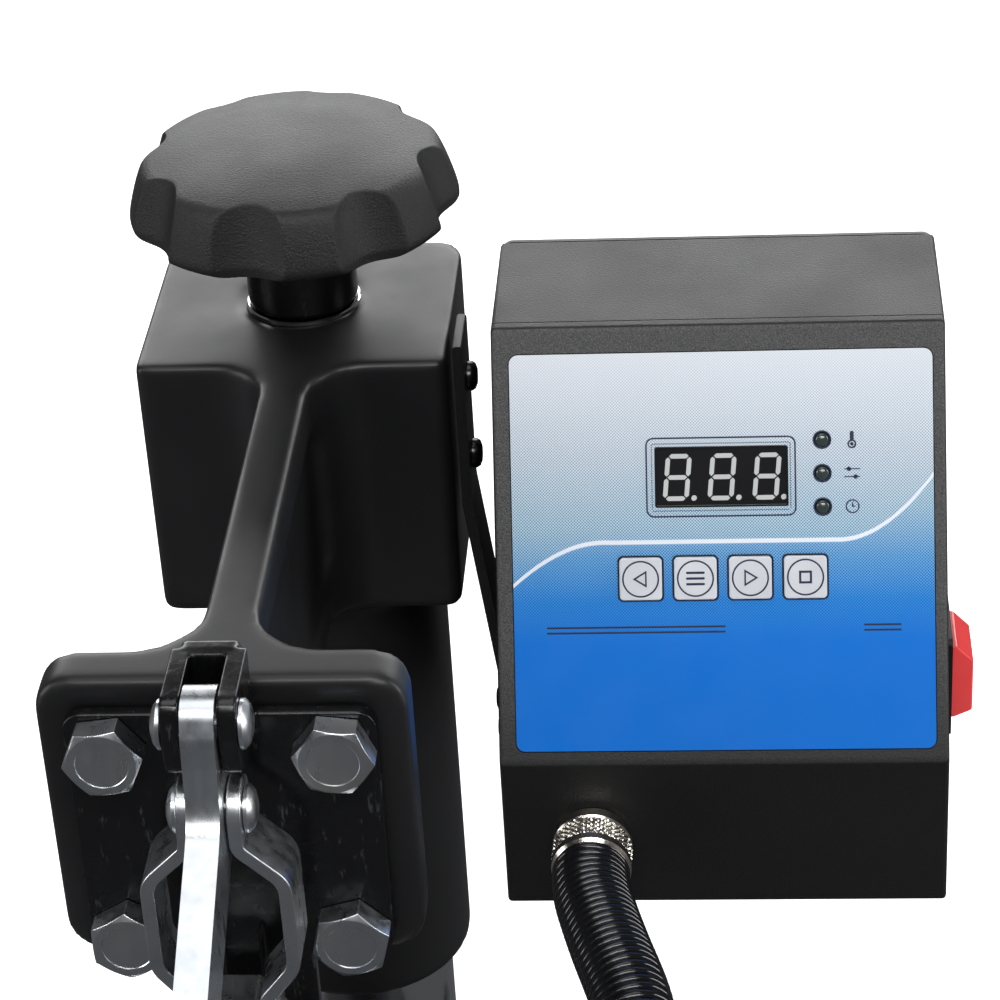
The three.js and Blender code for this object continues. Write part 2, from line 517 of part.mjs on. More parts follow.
function makeRocker() {
  const frame = (x0, x1, grow) => box(x0, x1, ROCKER.y - ROCKER.depth / 2 - grow, ROCKER.y + ROCKER.depth / 2 + grow,
    ROCKER.z - ROCKER.height / 2 - grow, ROCKER.z + ROCKER.height / 2 + grow);
  const bezel = join(frame(CASE.right - 14, CASE.right + 1, 1), frame(CASE.right + GAP, CASE.right + 2, 3));
  part("rocker_bezel", cut(bezel, frame(CASE.right - 12, CASE.right + 3, 0)), material.blackPlastic);
  const half = ROCKER.height / 2 - 1;
  const face = outline([[CASE.right - 6, ROCKER.z - half], [CASE.right + 3, ROCKER.z - half],
    [CASE.right + ROCKER.proud, ROCKER.z - half + 2.5], [CASE.right + ROCKER.proud, ROCKER.z + 7],
    [CASE.right + 3.4, ROCKER.z + half - 0.5], [CASE.right - 6, ROCKER.z + half - 0.5]]);
  part("rocker", alongY(face, ROCKER.y - ROCKER.depth / 2 + 1, ROCKER.y + ROCKER.depth / 2 - 1), material.red);
}

// A strip that stands clear of the housing side and leans out to the case wall lower down.
function makeBracket() {
  const { inner, outer, thickness, top, bend, foot, bottom, back, front } = BRACKET;
  const strip = alongY(outline([[inner, top], [inner, bend], [outer, foot], [outer, bottom],
    [outer + thickness, bottom], [outer + thickness, foot], [inner + thickness, bend], [inner + thickness, top]]),
    front, back);
  const y = (front + back) / 2;
  const places = [["bracket_screw_1", inner, -12], ["bracket_screw_2", inner, -38],
    ["case_screw_1", outer, -126], ["case_screw_2", outer, -137]];
  const holes = places.map(([, x, z]) => rod("x", 2.5, x - 1, x + thickness + 1, y, z, 16));
  part("controller_bracket", cut(strip, ...holes), material.blackPaint);
  places.forEach(([name, x, z]) => {
    const intoHousing = x === inner;
    const headFrom = intoHousing ? x + thickness + GAP : x - GAP - 2.8;
    const shankFrom = intoHousing ? HOUSING.halfWidth + GAP : headFrom + 1;
    const shankTo = intoHousing ? headFrom + 1 : CASE.left - GAP;
    part(name, join(rod("x", 4.4, headFrom, headFrom + 2.8, y, z, 20), rod("x", 2.2, shankFrom, shankTo, y, z, 12)),
      material.blackPaint);
  });
}

// ---------- hose between the controller and the heated shell ----------
const HOSE_ROUTE = [
  [84.7, -120, -122], [84.8, -126, -122], [85.8, -133, -121.9], [87.6, -141, -121.6], [89.8, -150, -121.2],
  [92.2, -159, -120.9], [94.8, -168, -120.8], [97.2, -177, -121], [99.6, -188.6, -122.4], [101.4, -199.5, -126.9],
  [102.9, -208.8, -134.1], [104.1, -216, -143.4], [105, -220.5, -154.3], [105.6, -222, -165.9],
  [105.9, -222.6, -178], [106, -223, -190], [106, -223, -202], [106, -223, -214],
];

function makeHose() {
  const route = new THREE.CatmullRomCurve3(HOSE_ROUTE.map(([x, y, z]) => new THREE.Vector3(x, y, z)));
  const section = new THREE.Shape();
  section.absarc(0, 0, HOSE_RADIUS, 0, Math.PI * 2);
  part("hose", new THREE.ExtrudeGeometry(section, { steps: 17, curveSegments: 10, extrudePath: route }), material.hose);
}

makeBase();
makeColumn();
makeLowerCradle();
makeAdjuster();
makeHead();
makeClampBase();
makeLever();
makeLinks();
makePlunger();
makeHeater();
makeController();
makeBracket();
makeHose();

// Stand the press on the table, centred on the box of everything but the free hose.
group.updateMatrixWorld(true);
const extent = new THREE.Box3();
group.traverse((one) => {
  if (one.isMesh && one.name !== "hose") extent.expandByObject(one, true);
});
const middle = extent.getCenter(new THREE.Vector3());
group.position.set(-middle.x, -middle.y, -TABLE_Z);

export default group;
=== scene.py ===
import json
import math
import bmesh
import bpy
from mathutils import Matrix, Vector

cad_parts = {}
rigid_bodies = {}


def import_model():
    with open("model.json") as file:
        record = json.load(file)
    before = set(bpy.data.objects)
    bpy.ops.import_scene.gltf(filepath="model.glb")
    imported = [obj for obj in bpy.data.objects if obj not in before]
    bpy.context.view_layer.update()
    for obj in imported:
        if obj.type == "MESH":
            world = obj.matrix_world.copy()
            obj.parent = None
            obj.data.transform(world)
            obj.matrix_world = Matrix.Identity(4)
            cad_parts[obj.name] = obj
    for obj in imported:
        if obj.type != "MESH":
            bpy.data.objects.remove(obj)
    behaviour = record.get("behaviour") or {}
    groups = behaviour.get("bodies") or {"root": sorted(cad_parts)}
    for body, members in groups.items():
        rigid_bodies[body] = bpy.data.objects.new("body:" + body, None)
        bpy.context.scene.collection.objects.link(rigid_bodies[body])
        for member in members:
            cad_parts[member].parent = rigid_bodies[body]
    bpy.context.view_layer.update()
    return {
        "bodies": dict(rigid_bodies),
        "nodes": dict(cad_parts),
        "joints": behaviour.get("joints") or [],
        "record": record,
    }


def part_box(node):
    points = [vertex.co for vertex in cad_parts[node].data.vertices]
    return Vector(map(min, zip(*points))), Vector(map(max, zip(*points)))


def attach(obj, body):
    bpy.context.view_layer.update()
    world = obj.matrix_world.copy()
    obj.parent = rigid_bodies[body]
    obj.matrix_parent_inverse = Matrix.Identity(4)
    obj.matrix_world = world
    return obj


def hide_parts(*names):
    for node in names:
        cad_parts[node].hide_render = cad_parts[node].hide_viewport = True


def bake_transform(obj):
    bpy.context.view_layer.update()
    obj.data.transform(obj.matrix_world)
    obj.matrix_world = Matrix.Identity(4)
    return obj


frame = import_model()
MM = 0.001
TAU = 2 * math.pi

# ---------- places worked out from the frame ----------
pipe_low, pipe_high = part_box("column_pipe")
_, cast_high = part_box("head_casting")
# Design coordinates are millimetres from the column axis at the housing's top face.
ORIGIN = Vector(((pipe_low.x + pipe_high.x) / 2, (pipe_low.y + pipe_high.y) / 2, cast_high.z))


def at(x, y, z):
    return ORIGIN + Vector((x, y, z)) * MM


def design_box(node):
    low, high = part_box(node)
    return (low - ORIGIN) / MM, (high - ORIGIN) / MM


# ---------- camera ----------
CAMERA_PLACE = (129.2, -840.5, 442.6)


def make_camera():
    pitch, yaw, roll = math.radians(31.36), math.radians(-5.07), math.radians(-3.52)
    focal_widths = 3.2129
    forward = Vector((math.sin(yaw) * math.cos(pitch), math.cos(yaw) * math.cos(pitch), -math.sin(pitch)))
    level = Vector((math.cos(yaw), -math.sin(yaw), 0))
    rise = level.cross(forward)
    right = level * math.cos(roll) + rise * math.sin(roll)
    up = rise * math.cos(roll) - level * math.sin(roll)
    data = bpy.data.cameras.new("camera")
    data.sensor_width = 36
    data.lens = 36 * focal_widths
    data.clip_start = 0.05
    camera = bpy.data.objects.new("camera", data)
    bpy.context.scene.collection.objects.link(camera)
    turn = Matrix((right, up, -forward)).transposed().to_4x4()
    camera.matrix_world = Matrix.Translation(at(*CAMERA_PLACE)) @ turn
    bpy.context.scene.camera = camera


make_camera()


# ---------- mesh helpers, all in design millimetres ----------
def arc(cx, cy, radius, start, end, steps=8):
    turns = [math.radians(start + (end - start) * i / steps) for i in range(steps + 1)]
    return [(cx + radius * math.cos(a), cy + radius * math.sin(a)) for a in turns]


def circle(cx, cy, radius, steps=32):
    return arc(cx, cy, radius, 0, 360, steps)[:-1]


def rounded(x0, x1, y0, y1, radius, steps=6):
    corners = [(x1 - radius, y0 + radius), (x1 - radius, y1 - radius), (x0 + radius, y1 - radius),
               (x0 + radius, y0 + radius)]
    return [point for i, (x, y) in enumerate(corners)
            for point in arc(x, y, radius, 90 * i - 90, 90 * i, steps)]


def slab(x, y, half_wide, half_tall, radius):
    """A rounded rectangle about its centre."""
    return rounded(x - half_wide, x + half_wide, y - half_tall, y + half_tall, radius)


def place(axis, a, b, along):
    """A point of an outline drawn across an axis: (y, z) for X, (x, z) for Y, (x, y) for Z."""
    if axis == "x":
        return (along, a, b)
    if axis == "y":
        return (a, along, b)
    return (a, b, along)


def prism(axis, outline, low, high):
    count = len(outline)
    verts = [place(axis, a, b, low) for a, b in outline] + [place(axis, a, b, high) for a, b in outline]
    faces = [(i, (i + 1) % count, count + (i + 1) % count, count + i) for i in range(count)]
    faces += [tuple(range(count - 1, -1, -1)), tuple(range(count, 2 * count))]
    return verts, faces


def lathe(profile, centre=(0, 0), axis="z", steps=64, warp=None):
    """Profile is (radius, along) pairs from axis to axis, or a loop that closes on itself."""
    closed = profile[0][0] > 0
    rows = profile[:-1] if closed and profile[0] == profile[-1] else profile
    verts, rings = [], []
    for radius, along in rows:
        if radius <= 0:
            rings.append([len(verts)])
            verts.append(place(axis, centre[0], centre[1], along))
            continue
        rings.append(list(range(len(verts), len(verts) + steps)))
        for i in range(steps):
            angle = TAU * i / steps
            r = radius * (warp(angle, along, radius) if warp else 1)
            across, up = centre[0] + r * math.cos(angle), centre[1] + r * math.sin(angle)
            verts.append(place(axis, across, up, along))
    faces = []
    pairs = list(zip(rings, rings[1:])) + ([(rings[-1], rings[0])] if closed else [])
    for one, two in pairs:
        for i in range(steps):
            j = (i + 1) % steps
            if len(one) == 1:
                faces.append((one[0], two[j], two[i]))
            elif len(two) == 1:
                faces.append((one[i], one[j], two[0]))
            else:
                faces.append((one[i], one[j], two[j], two[i]))
    return verts, faces


def ring(inner, outer, low, high, chamfer=0.6):
    c = chamfer
    return [(inner, low + c), (inner + c, low), (outer - c, low), (outer, low + c), (outer, high - c),
            (outer - c, high), (inner + c, high), (inner, high - c), (inner, low + c)]


def disc(radius, low, high, chamfer=0.6):
    c = chamfer
    return [(0, low), (radius - c, low), (radius, low + c), (radius, high - c),
            (radius - c, high), (0, high)]


def merged(*parts):
    verts, faces = [], []
    for some_verts, some_faces in parts:
        shift = len(verts)
        verts += some_verts
        faces += [tuple(i + shift for i in face) for face in some_faces]
    return verts, faces


def build(name, shape, matrix=None):
    verts, faces = shape
    points = [Vector(v) for v in verts]
    if matrix:
        points = [matrix @ p for p in points]
    mesh = bpy.data.meshes.new(name)
    mesh.from_pydata([at(*p) for p in points], [], faces)
    work = bmesh.new()
    work.from_mesh(mesh)
    bmesh.ops.recalc_face_normals(work, faces=work.faces)
    work.to_mesh(mesh)
    work.free()
    piece = bpy.data.objects.new(name, mesh)
    bpy.context.scene.collection.objects.link(piece)
    return piece


def settle(piece):
    """Replaces a piece's mesh by the result of its modifiers."""
    bpy.context.view_layer.update()
    graph = bpy.context.evaluated_depsgraph_get()
    mesh = bpy.data.meshes.new_from_object(piece.evaluated_get(graph))
    piece.modifiers.clear()
    piece.data = mesh
    return piece


def bevel(piece, width, segments=3, angle=35):
    rounding = piece.modifiers.new("bevel", "BEVEL")
    rounding.width = width * MM
    rounding.segments = segments
    rounding.limit_method = "ANGLE"
    rounding.angle_limit = math.radians(angle)
    rounding.harden_normals = False
    return settle(piece)


def carve(piece, *shapes, matrix=None, operation="DIFFERENCE"):
    for shape in shapes:
        cutter = build("cutter", shape, matrix)
        cut = piece.modifiers.new("cut", "BOOLEAN")
        cut.operation = operation
        cut.solver = "MANIFOLD"
        cut.object = cutter
        settle(piece)
        bpy.data.objects.remove(cutter)
    return piece


def flatten_shading(piece, most=30000):
    """Lets the large faces set the shading next to a small bevel, so they stay flat."""
    if len(piece.data.polygons) > most:
        return
    weights = piece.modifiers.new("weights", "WEIGHTED_NORMAL")
    weights.keep_sharp = True
    settle(piece)


def finish(piece, look, body, *nodes, smooth=32):
    """Dresses a piece and rides it on its body; it stands in for the named CAD nodes."""
    piece.data.materials.clear()
    piece.data.materials.append(look)
    for polygon in piece.data.polygons:
        polygon.use_smooth = True
        polygon.material_index = 0
    if smooth:
        piece.data.set_sharp_from_angle(angle=math.radians(smooth))
    if body:
        flatten_shading(piece)
        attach(piece, body)
    if nodes:
        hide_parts(*nodes)
    return piece


# ---------- node helpers ----------
class Look:
    """A material and the short calls that wire its nodes."""

    def __init__(self, name, color=(0.5, 0.5, 0.5), roughness=0.5, metallic=0.0, **sockets):
        self.material = bpy.data.materials.new(name)
        self.material.use_nodes = True
        self.nodes = self.material.node_tree.nodes
        self.links = self.material.node_tree.links
        self.shader = self.nodes["Principled BSDF"]
        self.shader.inputs["Base Color"].default_value = (*color, 1)
        self.shader.inputs["Roughness"].default_value = roughness
        self.shader.inputs["Metallic"].default_value = metallic
        for socket, value in sockets.items():
            self.shader.inputs[socket.replace("_", " ")].default_value = value
        self.place = self.nodes.new("ShaderNodeTexCoord").outputs["Object"]

    def math(self, operation, a, b=0.0, clamp=False):
        node = self.nodes.new("ShaderNodeMath")
        node.operation = operation
        node.use_clamp = clamp
        self.feed(node.inputs[0], a)
        self.feed(node.inputs[1], b)
        return node.outputs[0]

    def feed(self, socket, value):
        if isinstance(value, (int, float)):
            socket.default_value = value
        else:
            self.links.new(value, socket)

    def noise(self, scale, detail=3, stretch=None, roughness=0.5):
        node = self.nodes.new("ShaderNodeTexNoise")
        node.inputs["Scale"].default_value = scale
        node.inputs["Detail"].default_value = detail
        node.inputs["Roughness"].default_value = roughness
        source = self.place
        if stretch:
            mapping = self.nodes.new("ShaderNodeMapping")
            mapping.inputs["Scale"].default_value = stretch
            self.links.new(source, mapping.inputs["Vector"])
            source = mapping.outputs[0]
        self.links.new(source, node.inputs["Vector"])
        return node.outputs[0]

    def ramp(self, value, stops, interpolation="LINEAR"):
        node = self.nodes.new("ShaderNodeValToRGB")
        ramp = node.color_ramp
        ramp.interpolation = interpolation
        while len(ramp.elements) < len(stops):
            ramp.elements.new(0.5)
        for element, (position, color) in zip(ramp.elements, stops):
            element.position = position
            element.color = (*color, 1) if len(color) == 3 else color
        self.feed(node.inputs[0], value)
        return node.outputs[0]

    def grey(self, value, low, high, start=0.3, end=0.7):
        return self.ramp(value, [(start, (low,) * 3), (end, (high,) * 3)])

    def mix(self, factor, a, b):
        node = self.nodes.new("ShaderNodeMix")
        node.data_type = "RGBA"
        self.feed(node.inputs[0], factor)
        for socket, value in ((node.inputs[6], a), (node.inputs[7], b)):
            if isinstance(value, tuple):
                socket.default_value = (*value, 1)
            else:
                self.links.new(value, socket)
        return node.outputs[2]

    def color(self, output):
        self.links.new(output, self.shader.inputs["Base Color"])

    def rough(self, output):
        self.links.new(output, self.shader.inputs["Roughness"])

    def bump(self, height, strength=0.2, distance=0.0002):
        node = self.nodes.new("ShaderNodeBump")
        node.inputs["Strength"].default_value = strength
        node.inputs["Distance"].default_value = distance
        self.links.new(height, node.inputs["Height"])
        self.links.new(node.outputs[0], self.shader.inputs["Normal"])


# ---------- controller places ----------
SLOPE = math.radians(63.05)
PANEL_PLACE = Vector((123.2, -48, 14))
PANEL = Matrix.Translation(PANEL_PLACE) @ Matrix.Rotation(SLOPE, 4, "X")
CASE_LEFT, CASE_RIGHT, CASE_BACK, CASE_FRONT = 59, 186, 6, -103.94
CASE_TOP, CASE_KNEE, CASE_BOTTOM = 14, -96, -146


# ---------- materials ----------
def powder_coat():
    look = Look("powder_coat", (0.006, 0.006, 0.007), 0.42, Coat_Weight=0.04, Coat_Roughness=0.35)
    broad = look.noise(14, 2)
    look.color(look.ramp(broad, [(0.3, (0.004, 0.004, 0.0045)), (0.75, (0.008, 0.008, 0.009))]))
    look.rough(look.grey(look.noise(60, 3), 0.39, 0.47))
    look.bump(look.noise(1500, 2), 0.12, 0.00015)
    return look.material


def gloss_paint():
    look = Look("gloss_paint", (0.004, 0.004, 0.005), 0.2, Coat_Weight=0.05, Coat_Roughness=0.12)
    scuffs = look.ramp(look.noise(420, 5, (1, 1, 0.25), 0.7), [(0.60, (0, 0, 0)), (0.72, (1, 1, 1))])
    look.color(look.mix(scuffs, (0.003, 0.003, 0.0035), (0.035, 0.037, 0.04)))
    look.rough(look.grey(look.noise(90, 4), 0.16, 0.34))
    look.bump(look.noise(260, 3), 0.25, 0.0004)
    return look.material


def moulded(name, tone, grain, strength, roughness):
    look = Look(name, (tone, tone, tone * 1.04), roughness)
    fine = look.noise(grain, 4, None, 0.65)
    specks = look.ramp(look.noise(grain * 0.9, 1), [(0.74, (0, 0, 0)), (0.79, (1, 1, 1))])
    look.color(look.mix(specks, (tone, tone, tone * 1.04), (tone * 3.2, tone * 3.2, tone * 3.3)))
    look.rough(look.grey(look.noise(30, 3), roughness - 0.05, roughness + 0.07))
    look.bump(fine, strength, 0.0004)
    return look.material


def zinc_plate():
    look = Look("zinc_plate", (0.62, 0.66, 0.7), 0.27, 1.0)
    tint = look.noise(45, 3)
    look.color(look.ramp(tint, [(0.3, (0.62, 0.66, 0.70)), (0.55, (0.72, 0.75, 0.78)),
                                (0.8, (0.76, 0.75, 0.71))]))
    look.rough(look.grey(look.noise(300, 4, (1, 1, 0.3)), 0.24, 0.36))
    look.bump(look.noise(700, 4, (1, 1, 0.4)), 0.07, 0.0002)
    return look.material


def metal(name, color, roughness, scratch, stretch):
    look = Look(name, color, roughness, 1.0)
    lines = look.noise(scratch, 4, stretch)
    look.rough(look.grey(lines, max(0.03, roughness - 0.05), roughness + 0.08))
    dark = tuple(c * 0.86 for c in color)
    look.color(look.mix(look.noise(25, 2), color, dark))
    look.bump(lines, 0.04, 0.0001)
    return look.material


def rubber(name, color, roughness=0.75):
    look = Look(name, color, roughness)
    look.color(look.mix(look.noise(80, 3), color, tuple(c * 1.7 for c in color)))
    look.bump(look.noise(1200, 3), 0.25, 0.0003)
    return look.material


def silicone_pad():
    look = Look("silicone_pad", (0.36, 0.07, 0.03), 0.62)
    split = look.nodes.new("ShaderNodeSeparateXYZ")
    look.links.new(look.place, split.inputs[0])
    across = look.math("SINE", look.math("MULTIPLY", split.outputs[0], 3000))
    depth = look.math("ADD", split.outputs[1], split.outputs[2])
    along = look.math("SINE", look.math("MULTIPLY", depth, 3000))
    weave = look.math("MULTIPLY", across, along)
    look.color(look.mix(look.noise(40, 3), (0.30, 0.055, 0.022), (0.46, 0.10, 0.04)))
    look.bump(weave, 0.35, 0.0003)
    return look.material


def hose_plastic():
    look = Look("hose_plastic", (0.006, 0.006, 0.007), 0.16, Coat_Weight=0.08, Coat_Roughness=0.06)
    look.rough(look.grey(look.noise(120, 3), 0.12, 0.2))
    look.bump(look.noise(900, 2), 0.05, 0.0001)
    return look.material


def red_lens():
    look = Look("red_lens", (0.8, 0.04, 0.045), 0.14, Transmission_Weight=0.1, IOR=1.49)
    look.shader.inputs["Subsurface Weight"].default_value = 0.25
    look.shader.inputs["Subsurface Radius"].default_value = (0.004, 0.001, 0.001)
    look.color(look.mix(look.noise(60, 2), (0.80, 0.045, 0.05), (0.95, 0.09, 0.09)))
    look.bump(look.noise(500, 2), 0.04, 0.0002)
    return look.material


def key_print():
    look = Look("key_face", (0.62, 0.64, 0.68), 0.34)
    look.color(look.mix(look.noise(90, 2), (0.56, 0.585, 0.63), (0.72, 0.74, 0.78)))
    look.bump(look.noise(1500, 2), 0.05, 0.0001)
    return look.material


def case_front():
    """The case plastic, with a lighter grain where the surface lies in the plane of the panel, and painted
    shade that darkens that grain towards the bottom of the panel.
    """
    look = Look("case_front", (0.006, 0.006, 0.007), 0.46)
    split = look.nodes.new("ShaderNodeSeparateXYZ")
    look.links.new(look.place, split.inputs[0])
    origin = at(*PANEL_PLACE)
    _, y, z = split.outputs
    across = look.math("MULTIPLY", look.math("SUBTRACT", y, origin.y), -math.sin(SLOPE) / MM)
    above = look.math("MULTIPLY", look.math("SUBTRACT", z, origin.z), math.cos(SLOPE) / MM)
    away = look.math("ABSOLUTE", look.math("ADD", across, above))
    rim = look.ramp(away, [(0.2, (1, 1, 1)), (0.45, (0, 0, 0))])
    specks = look.ramp(look.noise(3000, 2), [(0.42, (0.035, 0.035, 0.036)), (0.62, (0.095, 0.095, 0.097))])
    # Painted shade: the grain in the panel plane is mixed towards near black on the lower part of the sloped
    # face.
    drop = look.math("DIVIDE", look.math("SUBTRACT", origin.z, z), 0.11)
    painted_shade_share = look.ramp(drop, [(0.7, (0, 0, 0)), (0.97, (0.75,) * 3)])
    look.color(look.mix(rim, (0.006, 0.006, 0.0065), look.mix(painted_shade_share, specks, (0.01, 0.01, 0.011))))
    look.rough(look.mix(rim, look.grey(look.noise(30, 3), 0.42, 0.52), (0.6, 0.6, 0.6)))
    look.bump(look.noise(1900, 3), 0.5, 0.0004)
    return look.material


def plain(name, color, roughness, grain=900, **sockets):
    look = Look(name, color, roughness, **sockets)
    look.color(look.mix(look.noise(50, 2), color, tuple(min(1, c * 1.25 + 0.003) for c in color)))
    look.bump(look.noise(grain, 2), 0.06, 0.0001)
    return look.material


POWDER = powder_coat()
GLOSS = gloss_paint()
KNOB = moulded("knob_plastic", 0.007, 1500, 0.85, 0.42)
CASE = moulded("case_plastic", 0.006, 2200, 0.50, 0.46)
ZINC = zinc_plate()
NICKEL = metal("nickel_plate", (0.66, 0.62, 0.55), 0.2, 500, (1, 1, 1))
CHROME = metal("hard_chrome", (0.78, 0.78, 0.79), 0.09, 900, (0.1, 0.1, 1))
STEEL = metal("turned_steel", (0.46, 0.46, 0.47), 0.3, 900, (0.2, 0.2, 2))
RUBBER = rubber("black_rubber", (0.018, 0.018, 0.018))
SILICONE = silicone_pad()
HOSE = hose_plastic()
RED = red_lens()
KEY = key_print()
BOARD = plain("circuit_board", (0.02, 0.14, 0.05), 0.4)
INK = plain("dark_ink", (0.012, 0.018, 0.05), 0.4)
WINDOW = plain("smoked_window", (0.006, 0.006, 0.007), 0.2)
SEGMENT = plain("unlit_segment", (0.46, 0.475, 0.47), 0.5)
LENS = plain("led_lens", (0.03, 0.042, 0.04), 0.15, Coat_Weight=0.5, Coat_Roughness=0.05)


# ---------- more shape helpers ----------
def soften(points, radius, steps=5, closed=True):
    """The same outline with its corners rounded; radius may be one number or one for each corner."""
    out = []
    for i, point in enumerate(points):
        size = radius[i] if isinstance(radius, (list, tuple)) else radius
        if size <= 0 or not closed and i in (0, len(points) - 1):
            out.append(tuple(point))
            continue
        here = Vector(point)
        back = Vector(points[i - 1]) - here
        ahead = Vector(points[(i + 1) % len(points)]) - here
        opening = back.angle(ahead)
        if opening > math.pi - 0.02:
            out.append(tuple(point))
            continue
        reach = min(size / math.tan(opening / 2), back.length * 0.49, ahead.length * 0.49)
        turn_radius = reach * math.tan(opening / 2)
        middle = (back.normalized() + ahead.normalized()).normalized()
        centre = here + middle * (turn_radius / math.sin(opening / 2))
        first = back.normalized() * reach + here - centre
        last = ahead.normalized() * reach + here - centre
        start = math.atan2(first.y, first.x)
        sweep = (math.atan2(last.y, last.x) - start + math.pi) % TAU - math.pi
        for k in range(steps + 1):
            angle = start + sweep * k / steps
            out.append((centre.x + turn_radius * math.cos(angle), centre.y + turn_radius * math.sin(angle)))
    return out


def thicken(line, thickness):
    """A closed outline from an open line, thickness to its left."""
    shifted = []
    for i, point in enumerate(line):
        before = Vector(line[max(0, i - 1)])
        after = Vector(line[min(len(line) - 1, i + 1)])
        along = (after - before).normalized()
        shifted.append((point[0] - along.y * thickness, point[1] + along.x * thickness))
    return list(line) + shifted[::-1]


def spline(points, per):
    """A Catmull-Rom curve through the points, with so many steps between each two."""
    nodes = [Vector(p) for p in points]
    nodes = [2 * nodes[0] - nodes[1]] + nodes + [2 * nodes[-1] - nodes[-2]]
    out = []
    for a, b, c, d in zip(nodes, nodes[1:], nodes[2:], nodes[3:]):
        for k in range(per):
            t = k / per
            out.append(0.5 * (2 * b + (c - a) * t + (2 * a - 5 * b + 4 * c - d) * t * t
                              + (3 * b - a - 3 * c + d) * t ** 3))
    return out + [nodes[-2]]


def box(x0, x1, y0, y1, z0, z1):
    return prism("z", [(x0, y0), (x1, y0), (x1, y1), (x0, y1)], z0, z1)


def rod(axis, radius, low, high, a, b, chamfer=0.5, steps=40):
    return lathe(disc(radius, low, high, chamfer), (a, b), axis, steps)


def band(axis, outer, inner, low, high):
    """A prism between two outlines with the same number of points."""
    count = len(outer)
    verts = [place(axis, a, b, along) for along in (low, high) for line in (outer, inner) for a, b in line]
    faces = []
    for i in range(count):
        j = (i + 1) % count
        o0, i0, o1, i1 = 0, count, 2 * count, 3 * count
        faces += [(o0 + i, o0 + j, o1 + j, o1 + i), (i0 + j, i0 + i, i1 + i, i1 + j),
                  (o1 + i, o1 + j, i1 + j, i1 + i), (o0 + j, o0 + i, i0 + i, i0 + j)]
    return verts, faces


def hexagon(a, b, flats, turn=0):
    return [(a + flats / math.sqrt(3) * math.cos(math.radians(turn + 60 * i)),
             b + flats / math.sqrt(3) * math.sin(math.radians(turn + 60 * i))) for i in range(6)]


def crowned_hex(name, axis, a, b, flats, base, crown, turn=0, dish=0.0):
    """A hexagon head from its base to its chamfered crown face, either way along the axis."""
    way = 1 if crown > base else -1
    piece = build(name, prism(axis, hexagon(a, b, flats, turn), min(base, crown), max(base, crown)))
    flat = flats * 0.475
    cone = [(0, base - way), (flats, base - way), (flats, crown - way * (flats - flat) * 0.577),
            (flat, crown), (0, crown)]
    carve(piece, lathe(cone, (a, b), axis, 72), operation="INTERSECT")
    if dish:
        hollow = [(0, crown - way * dish), (flat * 0.77, crown - way * dish), (flat * 0.81, crown + way),
                  (0, crown + way)]
        carve(piece, lathe(hollow, (a, b), axis, 48))
    return piece


def unite(name, *shapes):
    piece = build(name, shapes[0])
    return carve(piece, *shapes[1:], operation="UNION")


def cast(piece, voxel, rounds=6):
    """Turns a sharp solid into one with the soft edges of a casting."""
    remesh = piece.modifiers.new("remesh", "REMESH")
    remesh.mode = "VOXEL"
    remesh.voxel_size = voxel * MM
    smooth = piece.modifiers.new("smooth", "SMOOTH")
    smooth.factor = 0.5
    smooth.iterations = rounds
    return settle(piece)


def join_pieces(first, *others):
    for other in others:
        work = bmesh.new()
        work.from_mesh(first.data)
        work.from_mesh(other.data)
        work.to_mesh(first.data)
        work.free()
        bpy.data.objects.remove(other)
    return first


# ---------- hose ----------
HOSE_ROUTE = [
    (84.7, -120, -122), (84.8, -126, -122), (85.8, -133, -121.9), (87.6, -141, -121.6),
    (89.8, -150, -121.2), (92.2, -159, -120.9), (94.8, -168, -120.8), (97.2, -177, -121),
    (99.6, -188.6, -122.4), (101.4, -199.5, -126.9), (102.9, -208.8, -134.1), (104.1, -216, -143.4),
    (105, -220.5, -154.3), (105.6, -222, -165.9), (105.9, -222.6, -178), (106, -223, -190),
    (106, -223, -202), (106, -223, -214),
]
HOSE_RADIUS = 11.1
UNION_X, _, UNION_Z = HOSE_ROUTE[0]
GLAND_X, GLAND_Y, _ = HOSE_ROUTE[-1]


def make_hose():
    pitch, per_rib, sides, groove = 2.7, 10, 36, 1.5
    path = spline(HOSE_ROUTE, 24)
    travelled = [0.0]
    for a, b in zip(path, path[1:]):
        travelled.append(travelled[-1] + (b - a).length)
    length = travelled[-1]
    count = round(length / pitch) * per_rib
    line, at_step = [], 0
    for k in range(count + 1):
        want = length * k / count
        while at_step < len(path) - 2 and travelled[at_step + 1] < want:
            at_step += 1
        share = (want - travelled[at_step]) / (travelled[at_step + 1] - travelled[at_step])
        line.append(path[at_step].lerp(path[at_step + 1], share))
    verts, faces = [], []
    side = Vector((1, 0, 0))
    for k, point in enumerate(line):
        along = (line[min(k + 1, count)] - line[max(k - 1, 0)]).normalized()
        side = (side - along * side.dot(along)).normalized()
        up = along.cross(side)
        off_crest = 2 * (k % per_rib) / per_rib - 1
        radius = HOSE_RADIUS - groove * (1 - math.sqrt(1 - (0.98 * off_crest) ** 2))
        for i in range(sides):
            angle = TAU * i / sides
            verts.append(point + (side * math.cos(angle) + up * math.sin(angle)) * radius)
    for k in range(count):
        for i in range(sides):
            j = (i + 1) % sides
            faces.append((k * sides + i, k * sides + j, (k + 1) * sides + j, (k + 1) * sides + i))
    faces += [tuple(range(sides - 1, -1, -1)), tuple(range(count * sides, (count + 1) * sides))]
    hose = build("hose_tube", (verts, faces))
    finish(hose, HOSE, None, "hose", smooth=50)
    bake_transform(hose)


make_hose()


